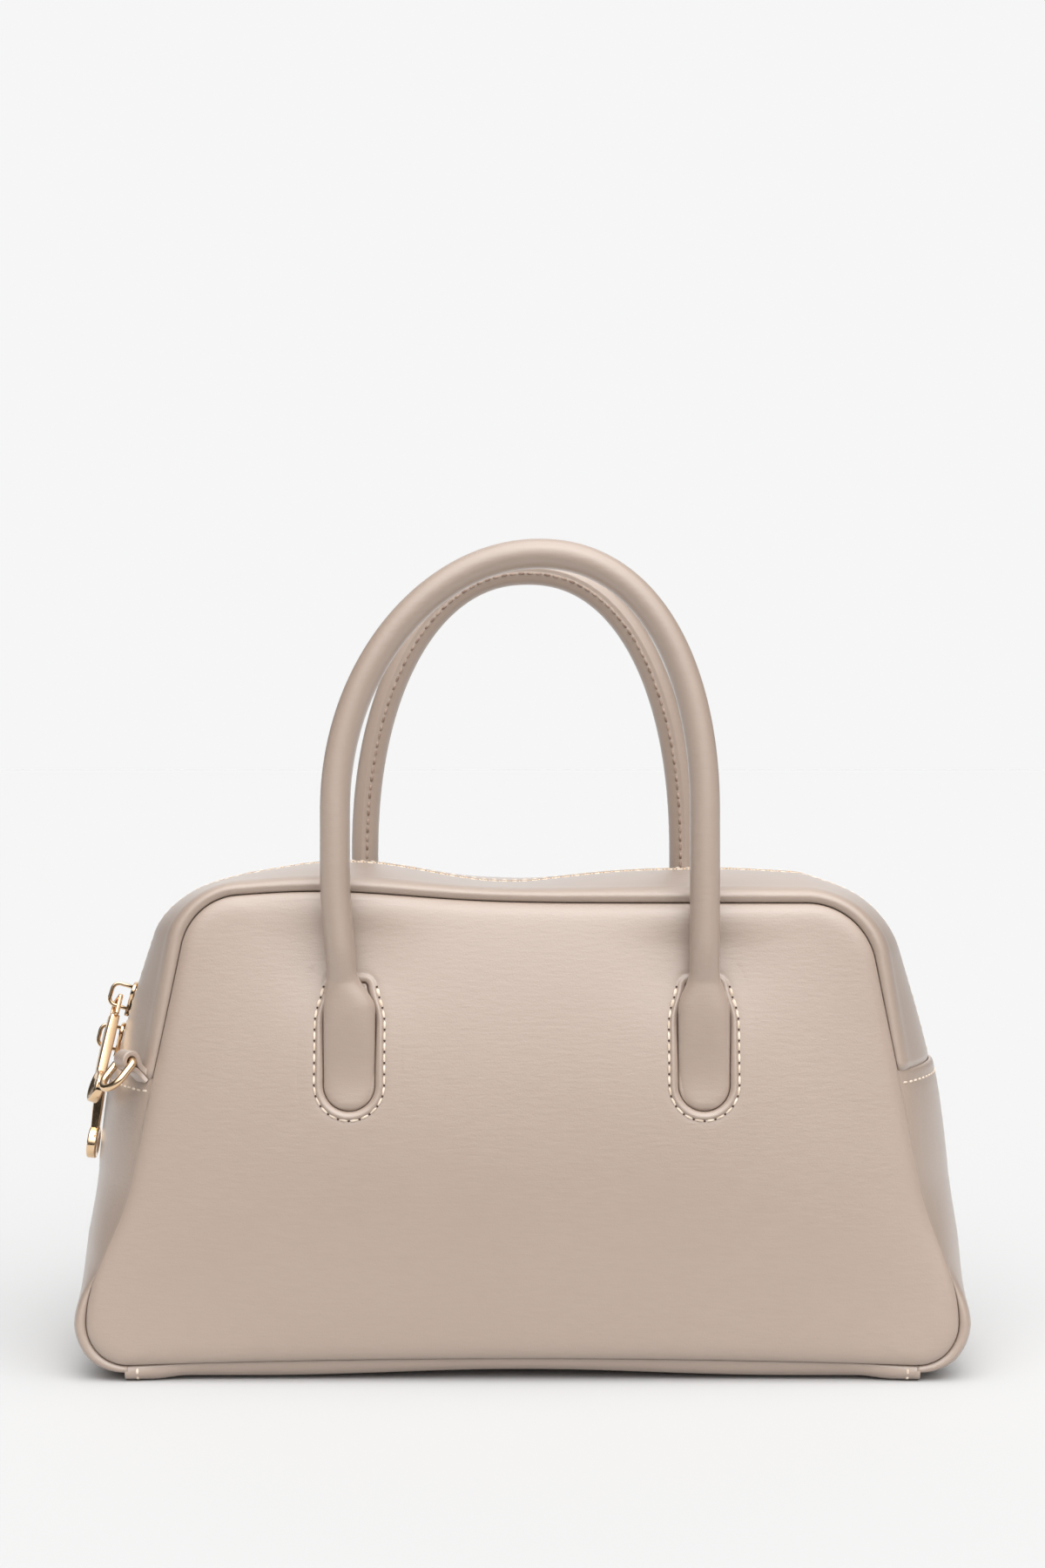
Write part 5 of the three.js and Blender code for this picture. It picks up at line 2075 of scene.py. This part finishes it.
@dataclass
class RingAndLoop:
    """Leather loop near the front seam of the left end, with a gold D-ring in it."""

    finishes: Finishes
    origin: tuple[float, float, float] = (-141.9, -48.8, 113.5)
    turned: float = 36.0
    drop: float = 47.0
    loop_width: float = 7.4
    outer_radius: float = 3.7
    root: tuple[float, float] = (-6.8, -6.8)
    curl_from: float = 75.0
    neck: float = 4.4
    neck_bend: float = 1.3
    wire_radius: float = 1.4
    ring_width: float = 11.0
    ring_corner: float = 2.2
    leg_length: float = 5.0
    play: float = 0.3
    layer_gap: float = 0.05
    strap_edge: float = 0.6

    def frame(self) -> Place:
        """Give the loop's frame: X along the ring's bar, Y away from the bag and Z up."""
        return Place(np.array(self.origin), turn("Z", 90.0 + self.turned))

    def ring(self) -> Patch:
        """Make the ring: a round wire along a D, its bar on X and its bow along Y.

        Returns:
            The ring in its own frame.
        """
        half = self.ring_width / 2.0
        bend = np.linspace(0.0, math.pi / 2.0, 10)
        right = np.stack([half - self.ring_corner + self.ring_corner * np.sin(bend),
                          self.ring_corner * (1.0 - np.cos(bend))], axis=-1)
        bow = np.linspace(0.0, math.pi, 40)
        leg_end = self.ring_corner + self.leg_length
        top = np.stack([half * np.cos(bow), leg_end + half * np.sin(bow)], axis=-1)
        path = np.vstack([right, top, (right * [-1.0, 1.0])[::-1]])
        return flat_sweep(path, round_section(self.wire_radius, 16), closed=True)

    def loop(self) -> Patch:
        """Make the loop: a strap that comes up from its root, goes round the bar and back down on itself.

        Half of its line is laid out with X from the bar to the root: a round part, a cubic curve to the neck,
        and a straight part in which both layers lie together. The other half is its mirror image.

        Returns:
            The strap in the loop's frame.
        """
        inner = self.wire_radius + self.play
        middle = (self.outer_radius + inner) / 2.0
        thickness = self.outer_radius - inner
        apart = thickness / 2.0 + self.layer_gap
        root = np.array(self.root)
        bend = np.linspace(math.pi, math.radians(self.curl_from), 20)
        curl = middle * np.stack([np.cos(bend), np.sin(bend)], axis=-1)
        leaving = np.array([np.sin(bend[-1]), -np.cos(bend[-1])])
        neck = np.array([self.neck, apart])
        corners = (curl[-1], curl[-1] + self.neck_bend * leaving, neck - [self.neck_bend, 0.0], neck)
        throat, _ = bezier(corners, np.linspace(0.0, 1.0, 10)[:, None])
        half = np.vstack([curl, throat[1:], [[np.linalg.norm(root), apart]]])
        line = np.vstack([half[::-1], half[1:] * [1.0, -1.0]])
        down = unit(root)
        path = line @ np.stack([down, np.array([-down[1], down[0]])])
        section = rounded_section(thickness, self.loop_width, self.strap_edge, 5)
        strap = flat_sweep(path, section, closed=False)
        return Patch(strap.points[:, [2, 0, 1]], strap.faces).turned_out()

    def build(self) -> None:
        """Build the loop and the ring."""
        frame = self.frame()
        leather = self.finishes.leather
        add_piece("ring_loop_leather", frame.put(self.loop()), leather, stands_for=("ring_loop",))
        hang = frame.inner(np.zeros(3), turn("X", -self.drop))
        add_piece("d_ring_gold", hang.put(self.ring()), self.finishes.gold, "d_ring",
                  stands_for=("d_ring",))


# Studio


@dataclass
class Studio:
    """Plain pale floor in a pale room, soft light from above the front, and the photograph's camera."""

    camera_distance: float = 1.007
    camera_height: float = 0.222
    lens: float = 61.3
    sensor_width: float = 36.0
    shift: float = -30.0 / 1800.0
    floor_half_width: float = 400.0
    card_front: float = -3.0
    card_back: float = -0.3
    card_half_width: float = 2.0
    card_height: float = 0.001
    backdrop: float = 0.922
    backdrop_wide: float = 0.22
    backdrop_edge: float = 0.4
    backdrop_from: float = 0.3
    backdrop_to: float = 0.7
    room: float = 0.58
    room_sides: float = 0.06
    room_from: float = 0.3
    room_to: float = 0.75
    camera_dark: float = 0.15
    dark_from: float = -0.97
    dark_to: float = -0.86
    bank: float = 2.65
    bank_height: float = 57.0
    bank_side: float = 12.0
    bank_inner: float = 24.0
    bank_outer: float = 62.0
    key_strength: float = 0.4
    key_width: float = 25.0
    key_height: float = 50.0
    key_side: float = 10.0

    def sheet(self, name: str, low: tuple[float, float], high: tuple[float, float], z: float,
              material: bpy.types.Material) -> bpy.types.Object:
        """Build a level sheet of the studio between two corners.

        Args:
            name: the sheet's name.
            low: X and Y of its near left corner in metres.
            high: X and Y of its far right corner in metres.
            z: its height in metres.
            material: its finish.

        Returns:
            The sheet's object, which is not part of the bag.
        """
        corners = [(low[0], low[1], z), (high[0], low[1], z), (high[0], high[1], z), (low[0], high[1], z)]
        mesh = bpy.data.meshes.new(name)
        mesh.from_pydata(corners, [], [(0, 1, 2, 3)])
        mesh.materials.append(material)
        sheet = bpy.data.objects.new(name, mesh)
        bpy.context.scene.collection.objects.link(sheet)
        return sheet

    def floor(self) -> None:
        """Build the floor, and before the bag a dark card that only gloss shows, for dark lines in metal."""
        half = self.floor_half_width
        self.sheet("studio_floor", (-half, -half), (half, half), 0.0, StudioPaper().make())
        near, far = (-self.card_half_width, self.card_front), (self.card_half_width, self.card_back)
        black = StudioPaper("dark_card_paper", "#1c1c1c").make()
        card = self.sheet("dark_card", near, far, self.card_height, black)
        card.visible_camera = False
        card.visible_diffuse = False
        card.visible_shadow = False

    def light(self) -> None:
        """Light the scene by a dim room, a bright backdrop, a round bank above the front and one lamp."""
        world = bpy.data.worlds.new("studio_room")
        world.use_nodes = True
        tree = world.node_tree
        away = add_node(tree, "ShaderNodeTexCoord").outputs["Generated"]
        split = add_node(tree, "ShaderNodeSeparateXYZ", {0: away})
        depth = split.outputs["Y"]
        aside = add_node(tree, "ShaderNodeMath", {0: split.outputs["X"]}, operation="ABSOLUTE").outputs[0]
        bank_way = turn("Z", self.bank_side) @ turn("X", -self.bank_height) @ np.array([0.0, -1.0, 0.0])
        near_bank = add_node(tree, "ShaderNodeVectorMath", {0: away, 1: tuple(bank_way)},
                             operation="DOT_PRODUCT")

        def ramp(value: Any, start: float, end: float, low: float, high: float) -> Any:
            """Add a smooth ramp from low at start to high at end, and give its socket."""
            node = add_node(tree, "ShaderNodeMapRange", {
                "Value": value, "From Min": start, "From Max": end, "To Min": low, "To Max": high,
            }, interpolation_type="SMOOTHSTEP")
            return node.outputs[0]

        even = ramp(aside, self.room_from, self.room_to, self.room, self.room_sides)
        dark = ramp(depth, self.dark_from, self.dark_to, self.camera_dark, 1.0)
        room = add_node(tree, "ShaderNodeMath", {0: even, 1: dark}, operation="MULTIPLY").outputs[0]
        behind = ramp(depth, self.backdrop_from, self.backdrop_to, 0.0, self.backdrop - self.room)
        between = ramp(aside, self.backdrop_wide, self.backdrop_edge, 1.0, 0.0)
        backdrop = add_node(tree, "ShaderNodeMath", {0: behind, 1: between}, operation="MULTIPLY").outputs[0]
        bank = ramp(near_bank.outputs["Value"], math.cos(math.radians(self.bank_outer)),
                    math.cos(math.radians(self.bank_inner)), 0.0, self.bank)
        walls = add_node(tree, "ShaderNodeMath", {0: room, 1: backdrop}, operation="ADD")
        total = add_node(tree, "ShaderNodeMath", {0: walls.outputs[0], 1: bank}, operation="ADD")
        seen = add_node(tree, "ShaderNodeLightPath").outputs["Is Camera Ray"]
        shown = add_node(tree, "ShaderNodeMix", {0: seen, 2: total.outputs[0], 3: self.backdrop},
                         data_type="FLOAT")
        tree.nodes["Background"].inputs["Color"].default_value = (1.0, 1.0, 1.0, 1.0)
        tree.links.new(shown.outputs[0], tree.nodes["Background"].inputs["Strength"])
        bpy.context.scene.world = world
        lamp = bpy.data.lights.new("wide_lamp_above_front", "SUN")
        lamp.energy, lamp.angle = self.key_strength, math.radians(self.key_width)
        holder = bpy.data.objects.new("wide_lamp_above_front", lamp)
        holder.rotation_euler = (math.radians(90.0 - self.key_height), 0.0, math.radians(self.key_side))
        bpy.context.scene.collection.objects.link(holder)

    def camera(self) -> None:
        """Set up the camera a little higher than the body's top, looking straight at the front."""
        lens = bpy.data.cameras.new("photo_camera")
        lens.lens, lens.sensor_width, lens.shift_y = self.lens, self.sensor_width, self.shift
        lens.clip_start, lens.clip_end = 0.01, 50.0
        holder = bpy.data.objects.new("photo_camera", lens)
        holder.location = (0.0, -self.camera_distance, self.camera_height)
        holder.rotation_euler = (math.pi / 2.0, 0.0, 0.0)
        bpy.context.scene.collection.objects.link(holder)
        bpy.context.scene.camera = holder

    def build(self) -> None:
        """Build the floor, the light and the camera, with colours shown as they are."""
        self.floor()
        self.light()
        self.camera()
        bpy.context.scene.view_settings.view_transform = "Standard"


def main() -> None:
    """Build the studio and the bag."""
    logging.basicConfig(level=logging.INFO, format="%(name)s %(message)s")
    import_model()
    Studio().build()
    form, finishes = BodyForm(), Finishes()
    front_left, front_right = LegForm(-61.6, -64.4, -66.8), LegForm(64.6, 64.8, 65.0)
    back_left, back_right = LegForm(-62.0, -62.4, -62.8), LegForm(63.0, 63.4, 63.8)
    Panel(Face.FRONT, (front_left.tab, front_right.tab), form, finishes).build()
    Panel(Face.BACK, (back_left.tab, back_right.tab), form, finishes).build()
    gusset = Gusset(form, finishes)
    gusset.build()
    Zip(gusset, finishes).build()
    Handle(Face.FRONT, front_left, front_right, top_height=295.0, lean=7.0, seam_angle=25.0, form=form,
           finishes=finishes).build()
    Handle(Face.BACK, back_left, back_right, top_height=296.0, lean=1.5, seam_angle=88.0, form=form,
           finishes=finishes, spring_height=182.0, squareness=2.2).build()
    ZipHardware(gusset, finishes).build()
    RingAndLoop(finishes).build()


if __name__ == "__main__":
    main()
